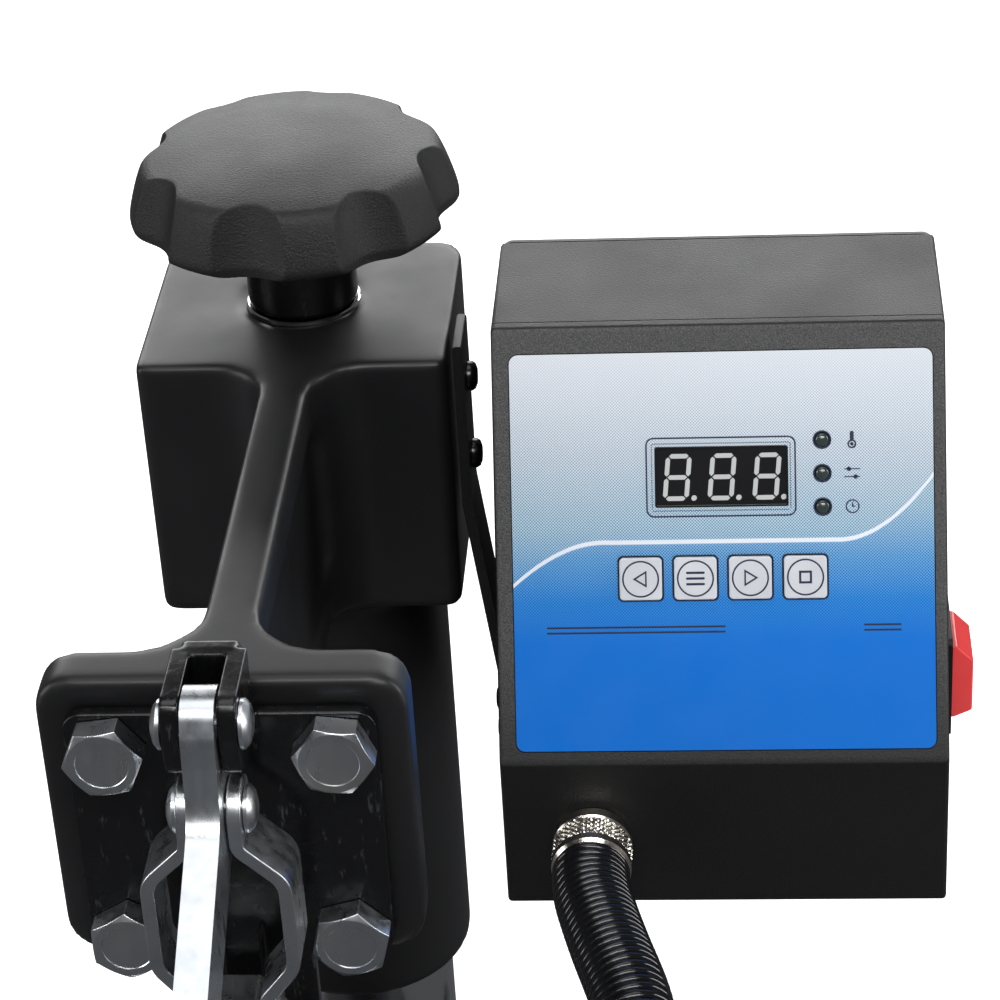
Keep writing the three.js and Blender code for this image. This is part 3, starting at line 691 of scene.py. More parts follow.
# ---------- height adjuster ----------
def make_knob():
    scallops, depth, draft, half_turn, first = 8, 4.6, 0.3, math.radians(13.5), math.radians(-100)
    rim = [(16, 30.6), (30, 30.2), (42.5, 29.3), (46, 29.4), (47.6, 30.4), (48.2, 32.2),
           (47.5, 36), (46.3, 39.8),
           (45, 43.2), (43.9, 45.7), (42.8, 47.2), (41.2, 48.3), (39, 49), (34, 50.2),
           (26, 51.6), (18, 52.6),
           (9, 53.2), (0, 53.4)]
    profile = [(0, 31.5)] + [(p.x, p.y) for p in spline(rim, 4)][:-1] + [(0, 53.4)]

    def scallop(angle, along, radius):
        period = TAU / scallops
        away = abs((angle - first + period / 2) % period - period / 2) / half_turn
        wall = 48.6 - draft * max(0, along - 32) - (depth + 0.6) * max(0, 1 - away * away)
        soft = 0.35
        gap = max(soft - abs(radius - wall), 0) / soft
        return (min(radius, wall) - gap * gap * soft / 4) / radius

    grip = build("knob_grip", lathe(profile, (0, 0), "z", 480, scallop))
    finish(grip, KNOB, "adjuster", "knob", smooth=60)
    hub_profile = [(0, 0.9), (15.4, 0.9), (16.1, 1.4), (16.3, 2.4), (16.3, 29.8), (17.4, 30.6), (0, 31)]
    hub = build("knob_hub", lathe(hub_profile, (0, 0), "z", 96))
    finish(hub, GLOSS, "adjuster", "knob", smooth=50)
    bush = [(8.3, -12.6), (8.8, -13), (11.6, -13), (12, -12.6), (12, -1), (16.7, -1), (17, -0.7),
            (17, 0.3), (16.7, 0.6),
            (8.7, 0.6), (8.3, 0.2), (8.3, -12.6)]
    finish(build("thrust_collar", lathe(bush, (0, 0), "z", 96)), CHROME, "carriage", "thrust_bush")


def threaded(radius, low, high, pitch=2.0, depth=0.6):
    """A rod profile with rings that read as a thread."""
    profile = [(0, low), (radius - 0.8, low), (radius - depth, low + 0.6)]
    z = low + pitch
    while z < high - 1:
        profile += [(radius - depth, z - pitch * 0.4), (radius, z), (radius, z + pitch * 0.1)]
        z += pitch
    return profile + [(radius - depth, high - 0.6), (radius - 0.8, high), (0, high)]


# ---------- head casting ----------
BOLTS = [(x, z) for x in (-28.5, 28.5) for z in (-17.2, -74.5)]
PLATE_BACK, PLATE_FRONT = -185, -199.5


def make_casting():
    arm, root, flare = 7, 15, 18
    right = [(45, -42)] + arc(arm + root, -42 - root, root, 90, 180, 10)
    right += arc(arm + flare, PLATE_BACK + flare, flare, 180, 270, 12) + [(arm + flare, PLATE_BACK - 2)]
    plan = arc(37, 28, 8, 90, 0, 5) + arc(42, -39, 3, 0, -90, 4) + right[1:]
    plan += [(-x, y) for x, y in reversed(plan)]
    casting = unite("head_casting_body", prism("z", plan, -82, 0),
                    prism("z", rounded(-45, 45, -42, 36, 4), -84, -60),
                    prism("y", rounded(-46.5, 46.5, -85, 0, 9), PLATE_FRONT, PLATE_BACK),
                    rod("z", 36, -240, -80, 0, 0, 1.5, 72),
                    rod("z", 38.5, -92, -80, 0, 0, 4, 72))
    pocket = soften([(-49, -66), (-49, -15), (-176, -15), (-176, -66)], 9)
    carve(casting, prism("x", pocket, 4.6, 30), prism("x", pocket, -30, -4.6),
          rod("z", 29.5, -242, -12, 0, 0, 0.5, 72), rod("z", 12.3, -14, 4, 0, 0, 0.2, 48),
          rod("z", 18.4, -1.6, 4, -1, 0, 0.2, 64))
    for x, z in BOLTS:
        carve(casting, rod("y", 6.3, -205, -180, x, z, 0.2, 24))
    cast(casting, 1.4, 15)
    finish(casting, POWDER, "head", "head_casting", smooth=60)


make_knob()
make_casting()


# ---------- toggle clamp ----------
PLUNGER_Y = -222
PIVOT_A, PIVOT_B, PIVOT_C = 3, -22, -88
LEVER_HALF = 4.1
SIDES = (-1, 1)


def make_clamp():
    back, front = PLATE_FRONT - 0.3, PLATE_FRONT - 4.3
    cheek = soften([(front + 1, 12.2), (PLUNGER_Y + 2, 12), (PLUNGER_Y - 5, 12), (PLUNGER_Y - 6.5, 3),
                    (PLUNGER_Y - 5, -9),
                    (front + 1, -12)], [0, 4, 5, 4, 4, 0])
    web = [(front + 1, -66), (PLUNGER_Y + 9, -107), (PLUNGER_Y + 9, -137), (front + 1, -137)]
    base = unite("clamp_body", prism("y", rounded(-39, 39, -82, -7, 5), front, back),
                 prism("y", rounded(-18, 18, -138, -60, 4), front, back),
                 prism("x", web, -5, 5),
                 lathe(disc(13, -138, -106, 1), (0, PLUNGER_Y), "z", 64),
                 prism("x", cheek, -9.3, 9.3),
                 prism("y", rounded(-7.5, 7.5, -12, 12.4, 2.2), front, back))
    carve(base, prism("x", [(front - 2.2, -16), (front - 2.2, 20), (-240, 20), (-240, -16)],
                      -LEVER_HALF - 0.35,
                      LEVER_HALF + 0.35),
          rod("z", 6.4, -140, -100, 0, PLUNGER_Y, 0.4), rod("x", 4.3, -20, 20, PLUNGER_Y, PIVOT_A, 0.2))
    for x, z in BOLTS:
        carve(base, rod("y", 6.4, front - 2, back + 2, x, z, 0.2))
    cast(base, 0.55, 4)
    finish(base, GLOSS, "head", "clamp_base", smooth=60)
    for i, (x, z) in enumerate(BOLTS):
        bolt = crowned_hex(f"clamp_bolt_head_{i + 1}", "y", x, z, 18, front - 0.3, front - 7.3,
                           7 + 23 * i, 0.35)
        bevel(bolt, 0.25, 2, 25)
        join_pieces(bolt, build("shank", lathe(threaded(6, front - 1, -179, 1.75, 0.5), (x, z), "y", 32)))
        finish(bolt, ZINC, "head", f"clamp_bolt_{i + 1}", smooth=30)
    rivet("lever_rivet", 9.5, 6.2, PIVOT_A, "head", "pivot_pin_lever")


def rivet(name, half, head, z, body, *nodes):
    """A pin across the clamp with a domed head on each side."""
    profile = [(0, -half - 2.8), (head * 0.45, -half - 2.7), (head * 0.8, -half - 2.0), (head, -half - 0.9),
               (head, -half), (4, -half)]
    profile += [(r, -along) for r, along in reversed(profile)]
    piece = build(name, lathe(profile, (PLUNGER_Y, z), "x", 40))
    return finish(piece, ZINC, body, *nodes, smooth=40)


def skew(piece):
    """Leans the handle slightly to the right, from just in front of the links."""
    for vertex in piece.data.vertices:
        ahead = ORIGIN.y + (PLUNGER_Y - 12) * MM - vertex.co.y
        vertex.co.x += 0.028 * max(0.0, ahead)
    return piece


def make_lever():
    slope, half = 0.345, 8.5
    cos, sin = math.cos(slope), math.sin(slope)

    def reach(along, side):
        return PLUNGER_Y - along * cos - side * sin, PIVOT_B - along * sin + side * cos

    outline = [(PLUNGER_Y + 9, PIVOT_A + 3), (PLUNGER_Y + 5, PIVOT_A + 9), (PLUNGER_Y - 5, PIVOT_A + 9),
               (PLUNGER_Y - 9, PIVOT_A + 1), reach(10, half), reach(185, half), reach(185, -half),
               reach(2, -half - 0.5),
               (PLUNGER_Y + 9, PIVOT_B - 5)]
    bar = soften(outline, [6, 7, 7, 6, 12, 2, 2, 8, 8], 6)
    lever = build("lever_bar", prism("x", bar, -LEVER_HALF, LEVER_HALF))
    carve(lever, rod("x", 4.2, -9, 9, PLUNGER_Y, PIVOT_A, 0.1),
          rod("x", 4.2, -9, 9, PLUNGER_Y, PIVOT_B, 0.1))
    skew(bevel(lever, 0.9, 3, 40))
    finish(lever, ZINC, "handle", "lever", smooth=40)
    start, length = 92, 99
    profile = [(0, 0), (9.6, 0), (10.6, 0.6), (11, 2)]
    along = 3.5
    while along < length - 12:
        profile += [(12, along), (12, along + 2.0), (11.3, along + 2.6), (11.3, along + 3.4)]
        along += 4
    profile += [(12, along), (12, length - 7), (11.2, length - 3.4), (9, length - 1),
                (6, length), (0, length)]
    turn = Matrix.Translation((0, *reach(start, 0))) @ Matrix.Rotation(math.pi + slope, 4, "X")
    grip = build("lever_grip_sleeve", lathe(profile, (0, 0), "y", 48), turn)
    carve(grip, box(-LEVER_HALF - 0.2, LEVER_HALF + 0.2, -1, 94, -8.7, 8.7), matrix=turn)
    finish(skew(grip), RUBBER, "handle", "lever_grip", smooth=35)
    rivet("link_rivet", 8.3, 6, PIVOT_B, "handle", "pivot_pin_link")


def make_links():
    thickness, width = 3.5, 17
    for side, node in zip(SIDES, ("link_left", "link_right")):
        line = soften([(4.5, PIVOT_B + 10), (4.5, PIVOT_B - 7.5), (15.3, PIVOT_B - 18), (15.3, PIVOT_B - 43),
                       (7.5, PIVOT_B - 53), (7.5, PIVOT_C - 10)], 6, 6, closed=False)
        strap = thicken(line, thickness)
        strap = [(side * x, z) for x, z in strap]
        link = build(f"{node}_strap", prism("y", strap, PLUNGER_Y - width / 2, PLUNGER_Y + width / 2))
        half = width / 2
        stadium = arc(PLUNGER_Y, PIVOT_B, half, 0, 180, 12) + arc(PLUNGER_Y, PIVOT_C, half, 180, 360, 12)
        carve(link, prism("x", stadium, -30, 30), operation="INTERSECT")
        carve(link, rod("x", 4.2, -30, 30, PLUNGER_Y, PIVOT_B, 0.1))
        bevel(link, 0.55, 3, 40)
        face = side * 11
        dome = [(0, 2.4), (2.6, 2.2), (4.6, 1.5), (5.6, 0.5), (5.6, -0.6), (0, -0.6)]
        rivet_head = lathe([(r, face + side * h) for r, h in dome], (PLUNGER_Y, PIVOT_C), "x", 32)
        join_pieces(link, build("dome", rivet_head))
        finish(link, ZINC, "links", node, smooth=35)


# ---------- plunger and heated shell ----------
MUG_Z = -238
# Inner radius, outer radius, and the angle left open at each edge of a half tube.
SHELL, PAD = (46, 51, 0.18), (42, 45.7, 0.22)


def half_tube(inner, outer, margin, side, half_length):
    first = math.degrees(margin) + (0 if side > 0 else 180)
    last = first + 180 - 2 * math.degrees(margin)
    line = arc(PLUNGER_Y, MUG_Z, outer, first, last, 40) + arc(PLUNGER_Y, MUG_Z, inner, last, first, 40)
    return prism("x", line, -half_length, half_length)


def make_plunger():
    head = build("plunger_head", box(-6.4, 6.4, PLUNGER_Y - 8, PLUNGER_Y + 8, PIVOT_C - 12, PIVOT_C + 8))
    bevel(head, 1.2)
    stem = lathe(threaded(7, -184, PIVOT_C - 11.5, 1.5, 0.55), (0, PLUNGER_Y), "z", 40)
    join_pieces(head, build("stem", stem))
    finish(head, ZINC, "press", "plunger")
    finish(build("lower_pivot_pin", rod("x", 4, -6.8, 6.8, PLUNGER_Y, PIVOT_C)), STEEL, "press",
           "pivot_pin_plunger")
    nut = crowned_hex("plunger_lock_nut", "z", 0, PLUNGER_Y, 22, -175.7, -169.7, 12)
    finish(bevel(nut, 0.3, 2), ZINC, "press", "lock_nut")


def make_shells():
    upper = unite("upper_shell_body", half_tube(*SHELL, 1, 55),
                  rod("z", 16, MUG_Z + 49, -176, 0, PLUNGER_Y, 1.5, 64))
    bevel(upper, 0.9, 3, 45)
    finish(upper, POWDER, "press", "upper_shell")
    for i, x in enumerate((-42, 42)):
        strap = arc(PLUNGER_Y, MUG_Z, 51.7, 12, 168, 40) + arc(PLUNGER_Y, MUG_Z, 51.1, 168, 12, 40)
        piece = build(f"shell_band_{i + 1}", prism("x", strap, x - 5, x + 5))
        finish(piece, CHROME, "press")
    finish(bevel(build("upper_heater_pad", half_tube(*PAD, 1, 50)), 0.8), SILICONE, "press", "heater_pad")
    cap = arc(PLUNGER_Y, MUG_Z, 51, 10.3, 169.7, 40)
    plate = bevel(build("shell_end_cap", prism("x", cap, 55.3, 58.3)), 0.6)
    finish(plate, POWDER, "press", "shell_end_plate")
    cradle = unite("lower_cradle_body", half_tube(*SHELL, -1, 55),
                   prism("y", rounded(-20, 20, MUG_Z - 58, MUG_Z - 46.5, 1.5), PLUNGER_Y - 14,
                         PLUNGER_Y + 14))
    finish(bevel(cradle, 0.9, 3, 45), POWDER, "base", "lower_cradle")
    finish(bevel(build("lower_cradle_pad", half_tube(*PAD, -1, 50)), 0.8), SILICONE, "base", "lower_pad")


def make_terminal_box():
    low, high = design_box("terminal_box")
    case = build("terminal_cover", prism("x", rounded(low.y, high.y, low.z, high.z, 4), low.x, high.x))
    bevel(case, 1.0)
    carve(case, *[rod("x", 2.2, high.x - 1, high.x + 2, y, (low.z + high.z) / 2, 0.1, 24)
                  for y in (low.y + 6, high.y - 6)])
    finish(case, CASE, "press", "terminal_box")
    for i, y in enumerate((low.y + 6, high.y - 6)):
        screw(f"terminal_screw_{i + 1}", "x", y, (low.z + high.z) / 2, high.x - 1, high.x - 0.2,
              2, ZINC, "press")
    gland = crowned_hex("gland_nut", "z", GLAND_X, GLAND_Y, 23.5, -221.6, -214.5, 5)
    carve(gland, rod("z", 11.2, -219, -210, GLAND_X, GLAND_Y, 0.2, 48))
    finish(bevel(gland, 0.3, 2), NICKEL, "press", "hose_gland")


def screw(name, axis, a, b, low, high, radius, look, body, *nodes):
    """A pan head with a cross recess, its crown at the high end."""
    rise = high - low
    dome = [(0, low), (radius, low), (radius, low + rise * 0.45), (radius * 0.86, low + rise * 0.8),
            (radius * 0.55, high), (0, high)]
    piece = build(name, lathe(dome, (a, b), axis, 40))
    arm, slit, depth = radius * 0.55, radius * 0.11, min(rise * 0.7, radius * 0.55)
    for da, db in ((arm, slit), (slit, arm)):
        carve(piece, prism(axis, [(a - da, b - db), (a + da, b - db), (a + da, b + db),
                                  (a - da, b + db)], high - depth,
                           high + 1))
    return finish(piece, look, body, *nodes, smooth=40)


# ---------- base and column ----------
def make_base():
    low, high = design_box("base_plate")
    outline = rounded(low.x, high.x, low.y, high.y, 22, 10)
    plate = build("base_plate_body", prism("z", outline, low.z, high.z))
    finish(bevel(plate, 1.6), POWDER, "base", "base_plate")
    for i in range(1, 5):
        low, high = design_box(f"foot_{i}")
        x, y = (low.x + high.x) / 2, (low.y + high.y) / 2
        foot = [(0, low.z), (10.8, low.z), (12, low.z + 1.2), (14.7, high.z - 1), (15, high.z), (0, high.z)]
        finish(build(f"foot_pad_{i}", lathe(foot, (x, y), "z", 48)), RUBBER, "base", f"foot_{i}")
    low, high = design_box("column_flange")
    z = low.z
    outline = [(29.3, z + 0.5), (29.8, z), (56.2, z), (57, z + 0.8), (57, z + 8), (56, z + 9),
               (43, z + 9), (40, z + 10),
               (38.6, z + 12.5), (38, z + 16), (37.6, z + 26.6), (36.4, z + 28), (30, z + 28),
               (29.3, z + 27.3),
               (29.3, z + 0.5)]
    flange = build("column_foot", lathe(outline, (0, 0), "z", 96))
    spots = [(48.5 * math.cos(math.radians(a)), 48.5 * math.sin(math.radians(a)))
             for a in (45, 135, 225, 315)]
    carve(flange, *[rod("z", 4.3, z - 1, z + 12, x, y, 0.1) for x, y in spots])
    finish(flange, POWDER, "base", "column_flange")
    for i, (x, y) in enumerate(spots):
        bolt = bevel(crowned_hex(f"column_bolt_head_{i + 1}", "z", x, y, 13, z + 10, z + 15.5, 17 * i,
                                 0.25), 0.2, 2, 25)
        washer = build("washer", lathe(ring(4.3, 8, z + 9.1, z + 9.9, 0.2), (x, y), "z", 40))
        join_pieces(bolt, washer, build("shank",
                                        lathe(threaded(4, z + 1, z + 11, 1.25, 0.4), (x, y), "z", 24)))
        finish(bolt, ZINC, "base", f"column_bolt_{i + 1}", smooth=30)
    low, high = design_box("column_pipe")
    finish(build("column_tube", lathe(ring(25, 29, low.z, high.z, 0.8), (0, 0), "z", 96)), CHROME,
           "base", "column_pipe")
    low, high = design_box("lift_nut")
    nut = lathe(ring(8.3, 24.7, low.z, high.z, 0.8), (0, 0), "z", 64)
    finish(build("column_nut", nut), STEEL, "base", "lift_nut")
    low, high = design_box("lift_screw")
    thread = lathe(threaded(8, low.z, high.z, 2.0, 0.9), (0, 0), "z", 40)
    finish(build("adjuster_screw", thread), STEEL, "adjuster", "lift_screw")
    low, high = design_box("cradle_pedestal")
    rib = soften([(-30, low.z + 6), (-24, high.z - 6), (24, high.z - 6), (30, low.z + 6)], 2)
    stand = unite("cradle_stand", prism("z", rounded(-42, 42, PLUNGER_Y - 34, PLUNGER_Y + 34, 6),
                                        low.z, low.z + 8),
                  prism("y", rib, PLUNGER_Y - 5, PLUNGER_Y + 5),
                  prism("z", rounded(-26, 26, PLUNGER_Y - 18, PLUNGER_Y + 18, 4), high.z - 8, high.z))
    finish(bevel(stand, 1.0, 3, 40), POWDER, "base", "cradle_pedestal")
    for i, (x, y) in enumerate((x, y) for x in (-34, 34) for y in (PLUNGER_Y - 25, PLUNGER_Y + 25)):
        bolt = crowned_hex(f"pedestal_bolt_{i + 1}", "z", x, y, 10, low.z + 8.1, low.z + 12.5, 11 * i, 0.2)
        finish(bevel(bolt, 0.2, 2, 25), ZINC, "base")


make_clamp()
make_lever()
make_links()
make_plunger()
make_shells()
make_terminal_box()
make_base()


# ---------- controller ----------
KEY_PLACES = (-23.1, -7.7, 7.7, 23.1)
KEY_V = -71
LED_U, LED_VS = 28.2, (-32.6, -42, -51.4)
WINDOW_V, WINDOW_HALF, WINDOW_RISE = -42.5, 18.7, 8.6
ROCKER_Y, ROCKER_Z = -66, -89


def swoosh(u):
    """Height of the white line across the label at u."""
    left = -60.7 - 11.9 * max(0.0, (-34.6 - u) / 24.4) ** 1.8
    return left + 17.5 * max(0.0, (u - 33.0) / 25.7) ** 1.9


def label_film():
    look = Look("label_film", (0.1, 0.3, 0.8), 0.42, Specular_IOR_Level=0.28)
    origin = at(*PANEL_PLACE)
    split = look.nodes.new("ShaderNodeSeparateXYZ")
    look.links.new(look.place, split.inputs[0])
    x, y, z = split.outputs
    scale = 1 / MM
    u = look.math("MULTIPLY", look.math("SUBTRACT", x, origin.x), scale)
    up = look.math("MULTIPLY", look.math("SUBTRACT", y, origin.y), scale * math.cos(SLOPE))
    rise = look.math("MULTIPLY", look.math("SUBTRACT", z, origin.z), scale * math.sin(SLOPE))
    v = look.math("ADD", up, rise)
    depth = look.math("DIVIDE", v, -120.0)
    paper = [(0.06, (0.75, 0.78, 0.83)), (0.18, (0.73, 0.77, 0.82)), (0.30, (0.68, 0.74, 0.80)),
             (0.48, (0.48, 0.66, 0.78)),
             (0.60, (0.17, 0.45, 0.78)), (0.70, (0.03, 0.27, 0.72)), (0.80, (0.004, 0.17, 0.65)),
             (0.95, (0.003, 0.155, 0.62))]
    ink = [(0.06, (0.60, 0.64, 0.70)), (0.18, (0.40, 0.48, 0.58)), (0.30, (0.22, 0.32, 0.43)),
           (0.48, (0.06, 0.17, 0.30)),
           (0.60, (0.005, 0.10, 0.33)), (0.70, (0.003, 0.11, 0.46)), (0.80, (0.004, 0.15, 0.62)),
           (0.95, (0.003, 0.155, 0.62))]
    spread = look.math("MULTIPLY", look.math("ADD", u, 60.0), 1 / 120)
    line_height = curve_of(look, spread)
    below = look.math("SUBTRACT", line_height, v)
    under = look.math("MULTIPLY", below, 0.9, clamp=True)
    shift = look.math("MULTIPLY", under, 0.055)
    level = look.math("ADD", depth, shift)
    turn = TAU / 0.86
    one = look.math("SINE", look.math("MULTIPLY", u, turn))
    two = look.math("SINE", look.math("MULTIPLY", v, turn))
    dots = look.math("MULTIPLY", one, two)
    dots = look.ramp(look.math("ADD", look.math("MULTIPLY", dots, 0.5), 0.5),
                     [(0.42, (0, 0, 0)), (0.72, (1, 1, 1))])
    printed = look.mix(dots, look.ramp(level, paper), look.ramp(level, ink))
    distance = look.math("ABSOLUTE", below)
    on_line = look.ramp(distance, [(0.50, (1, 1, 1)), (0.72, (0, 0, 0))])
    look.color(look.mix(on_line, printed, (0.80, 0.84, 0.92)))
    look.rough(look.grey(look.noise(70, 3), 0.34, 0.46))
    look.bump(look.noise(1100, 2), 0.06, 0.0001)
    return look.material


def curve_of(look, spread):
    """The swoosh as a node: its height in millimetres from the share of the way across the label."""
    node = look.nodes.new("ShaderNodeFloatCurve")
    curve = node.mapping.curves[0]
    steps = 24
    while len(curve.points) < steps + 1:
        curve.points.new(0.5, 0.5)
    for i in range(steps + 1):
        share = i / steps
        curve.points[i].location = (share, (swoosh(share * 120 - 60) + 80) / 50)
        curve.points[i].handle_type = "AUTO"
    node.mapping.update()
    look.links.new(spread, node.inputs["Value"])
    return look.math("SUBTRACT", look.math("MULTIPLY", node.outputs[0], 50.0), 80.0)


def make_case():
    knee = [(CASE_BACK, CASE_TOP), (-48, CASE_TOP), (CASE_FRONT, CASE_KNEE), (CASE_FRONT, CASE_BOTTOM),
            (CASE_BACK, CASE_BOTTOM)]
    case = build("controller_shell", prism("x", knee, CASE_LEFT, CASE_RIGHT))
    bevel(case, 1.3, 4, 15)
    inner = [(CASE_BACK + 1, CASE_TOP - 2.5), (-46.4, CASE_TOP - 2.5), (CASE_FRONT + 2.5, CASE_KNEE - 0.6),
             (CASE_FRONT + 2.5, CASE_BOTTOM + 2.5), (CASE_BACK + 1, CASE_BOTTOM + 2.5)]
    carve(case, prism("x", inner, CASE_LEFT + 2.5, CASE_RIGHT - 2.5),
          box(CASE_LEFT - 1, CASE_RIGHT + 1, CASE_BACK - 0.02, CASE_BACK + 2, CASE_BOTTOM - 1, CASE_TOP + 1))
    carve(case, box(CASE_LEFT - 1, CASE_RIGHT + 1, -44.6, -44.2, CASE_TOP - 0.35, CASE_TOP + 1))
    tray_half = LABEL_HALF + RECESS_GAP
    tray = prism("z", rounded(-tray_half, tray_half, LABEL_LOW - RECESS_GAP,
                              LABEL_HIGH + RECESS_GAP, 2.7), -0.8, 6)
    carve(case, tray, matrix=PANEL)
    cut_panel(case, 0.1)
    carve(case, box(CASE_RIGHT - 5, CASE_RIGHT + 2, ROCKER_Y - 11.8, ROCKER_Y + 11.8, ROCKER_Z - 14.8,
                    ROCKER_Z + 14.8),
          rod("y", 8.4, CASE_FRONT - 3, CASE_FRONT + 6, UNION_X, UNION_Z, 0.2, 48))
    finish(case, case_front(), "head", "controller_case", smooth=30)
    gap = 0.4
    outline = rounded(CASE_LEFT + gap, CASE_RIGHT - gap, CASE_BOTTOM + gap, CASE_TOP - gap, 3)
    back = build("controller_back_plate", prism("y", outline, CASE_BACK + 0.3, CASE_BACK + 1.8))
    carve(back, box(108, 137, CASE_BACK - 1, CASE_BACK + 3, -122.4, -101.6))
    vents, pitch, lowest = 7, 7, -58
    for z in range(lowest, lowest + vents * pitch, pitch):
        carve(back, prism("y", rounded(98, 147, z, z + 3, 1.4), CASE_BACK - 1, CASE_BACK + 3))
    finish(bevel(back, 0.35, 2), POWDER, "head", "controller_back")
    for i, (x, z) in enumerate((x, z) for x in (65, 180) for z in (8, -140)):
        screw(f"back_screw_{i + 1}", "y", x, z, CASE_BACK + 1.8, CASE_BACK + 3.4, 2.8, ZINC, "head")
    board = build("control_circuit_board", prism("z", rounded(-45, 45, -88, -22, 2), -8.6, -7), PANEL)
    finish(board, BOARD, "head", "control_board")


# Low and high above the label: prints, the rims of lamps and keys, and the signs on the keys.
INK_LAYER, RIM_LAYER, KEY_LAYER = (0.01, 0.05), (0.01, 0.06), (1.41, 1.45)
LABEL_HALF, LABEL_LOW, LABEL_HIGH = 59.1, -119.9, -7.5
RECESS_GAP = 0.3
DOT_PITCH, DOT_RADIUS = 0.62, 0.2


def cut_panel(piece, extra):
    holes = [prism("z", slab(0, WINDOW_V, WINDOW_HALF, WINDOW_RISE, 0.6), -6, 2)]
    holes += [prism("z", circle(LED_U, v, 2.1 + extra, 32), -6, 2) for v in LED_VS]
    holes += [prism("z", slab(u, KEY_V, 6.3 + extra, 6.3 + extra, 1.4), -6, 2)
              for u in KEY_PLACES]
    carve(piece, *holes, matrix=PANEL)


def make_label():
    label = build("label_sheet", prism("z", rounded(-LABEL_HALF, LABEL_HALF, LABEL_LOW, LABEL_HIGH, 2.5),
                                       -0.5, 0), PANEL)
    cut_panel(label, 0)
    finish(label, label_film(), "head", "label_panel", smooth=30)
    prints = []
    outer = rounded(-21.2, 20.9, -53.8, -31.3, 2.2)
    inner = rounded(-20.75, 20.45, -53.35, -31.75, 1.75)
    prints.append(band("z", outer, inner, *INK_LAYER))
    for v in (-85.0, -86.5):
        for start, end in ((-49.8, 0.5), (39.3, 49.7)):
            prints.append(prism("z", [(start, v), (end, v), (end, v + 0.5), (start, v + 0.5)], *INK_LAYER))
    for i in range(62):
        for v in (-33.1, -52.0):
            prints.append(prism("z", circle(-19.1 + DOT_PITCH * i, v, DOT_RADIUS, 6), *INK_LAYER))
    for i in range(30):
        for u in (-19.5, 19.3):
            prints.append(prism("z", circle(u, -51.4 + DOT_PITCH * i, DOT_RADIUS, 6), *INK_LAYER))
    for v in LED_VS:
        prints.append(band("z", circle(LED_U, v, 2.62), circle(LED_U, v, 2.1), *RIM_LAYER))
    prints += pictograms()
    for u in KEY_PLACES:
        prints.append(band("z", slab(u, KEY_V, 6.55, 6.55, 1.6),
                           slab(u, KEY_V, 6.32, 6.32, 1.4), *RIM_LAYER))
    finish(build("label_prints", merged(*prints), PANEL), INK, "head", smooth=0)


def pictograms():
    """Small plain symbols beside the lamps: a thermometer, a slider and a clock."""
    u = 36.5
    top, middle, low = LED_VS
    stem = [band("z", circle(u, top - 1.3, 1.25, 24), circle(u, top - 1.3, 0.8, 24), *INK_LAYER),
            prism("z", rounded(u - 0.55, u + 0.55, top - 0.4, top + 2.3, 0.5), *INK_LAYER),
            prism("z", circle(u, top - 1.3, 0.5, 16), *INK_LAYER)]
    slider = [prism("z", slab(u, middle + shift, 2.2, 0.14, 0.1), *INK_LAYER)
              for shift in (-1.1, 1.1)]
    slider += [prism("z", circle(u + spot, middle + shift, 0.62, 16), *INK_LAYER)
               for spot, shift in ((-0.9, 1.1), (0.9, -1.1))]
    clock = [band("z", circle(u, low, 1.95, 32), circle(u, low, 1.6, 32), *INK_LAYER),
             prism("z", rounded(u - 0.16, u + 0.16, low - 0.16, low + 1.15, 0.1), *INK_LAYER),
             prism("z", rounded(u - 0.16, u + 0.9, low - 0.16, low + 0.16, 0.1), *INK_LAYER)]
    return stem + slider + clock


def make_display():
    low, high = WINDOW_V - WINDOW_RISE + 0.3, WINDOW_V + WINDOW_RISE - 0.3
    half = WINDOW_HALF - 0.3
    window = build("display_glass", prism("z", rounded(-half, half, low, high, 0.6), -4, -0.35), PANEL)
    finish(bevel(window, 0.2, 2), WINDOW, "head", "display_window")
    rim = band("z", rounded(-half - 0.25, half + 0.25, low - 0.25, high + 0.25, 0.8),
               rounded(-half + 0.35, half - 0.35, low + 0.35, high - 0.35, 0.4), -0.6, -0.05)
    finish(bevel(build("display_rim", rim, PANEL), 0.12, 2), WINDOW, "head")
    digits = [bar for i in range(3) for bar in digit(-16.6 + 12.55 * i, -49.2)]
    finish(build("display_digits", merged(*digits), PANEL), SEGMENT, "head", smooth=0)
    for i, v in enumerate(LED_VS):
        dome = [(0, -5), (1.9, -5), (1.9, 0.1), (1.6, 0.5), (1, 0.78), (0, 0.9)]
        lamp = build(f"lamp_{i + 1}", lathe(dome, (LED_U, v), "z", 40), PANEL)
        finish(lamp, LENS, "head", f"led_{i + 1}", smooth=50)


def digit(left, foot):
    """An unlit figure of seven bars and a point, leaning to the right."""
    wide, tall, half, lean, gap = 7.3, 13.2, 0.64, 0.09, 0.26
    low, middle, high = half, tall / 2, tall - half
    bars = []
    for height in (low, middle, high):
        bars.append([(half + gap, height), (2 * half + gap, height + half),
                     (wide - 2 * half - gap, height + half),
                     (wide - half - gap, height), (wide - 2 * half - gap, height - half),
                     (2 * half + gap, height - half)])
    for across in (half, wide - half):
        for start, end in ((low, middle), (middle, high)):
            bars.append([(across, start + gap), (across + half, start + half + gap),
                         (across + half, end - half - gap),
                         (across, end - gap), (across - half, end - half - gap),
                         (across - half, start + half + gap)])
    bars.append(circle(wide + 1.5, low + 0.1, 0.78, 20))
    return [prism("z", [(left + a + lean * b, foot + b) for a, b in bar], -0.34, -0.3) for bar in bars]


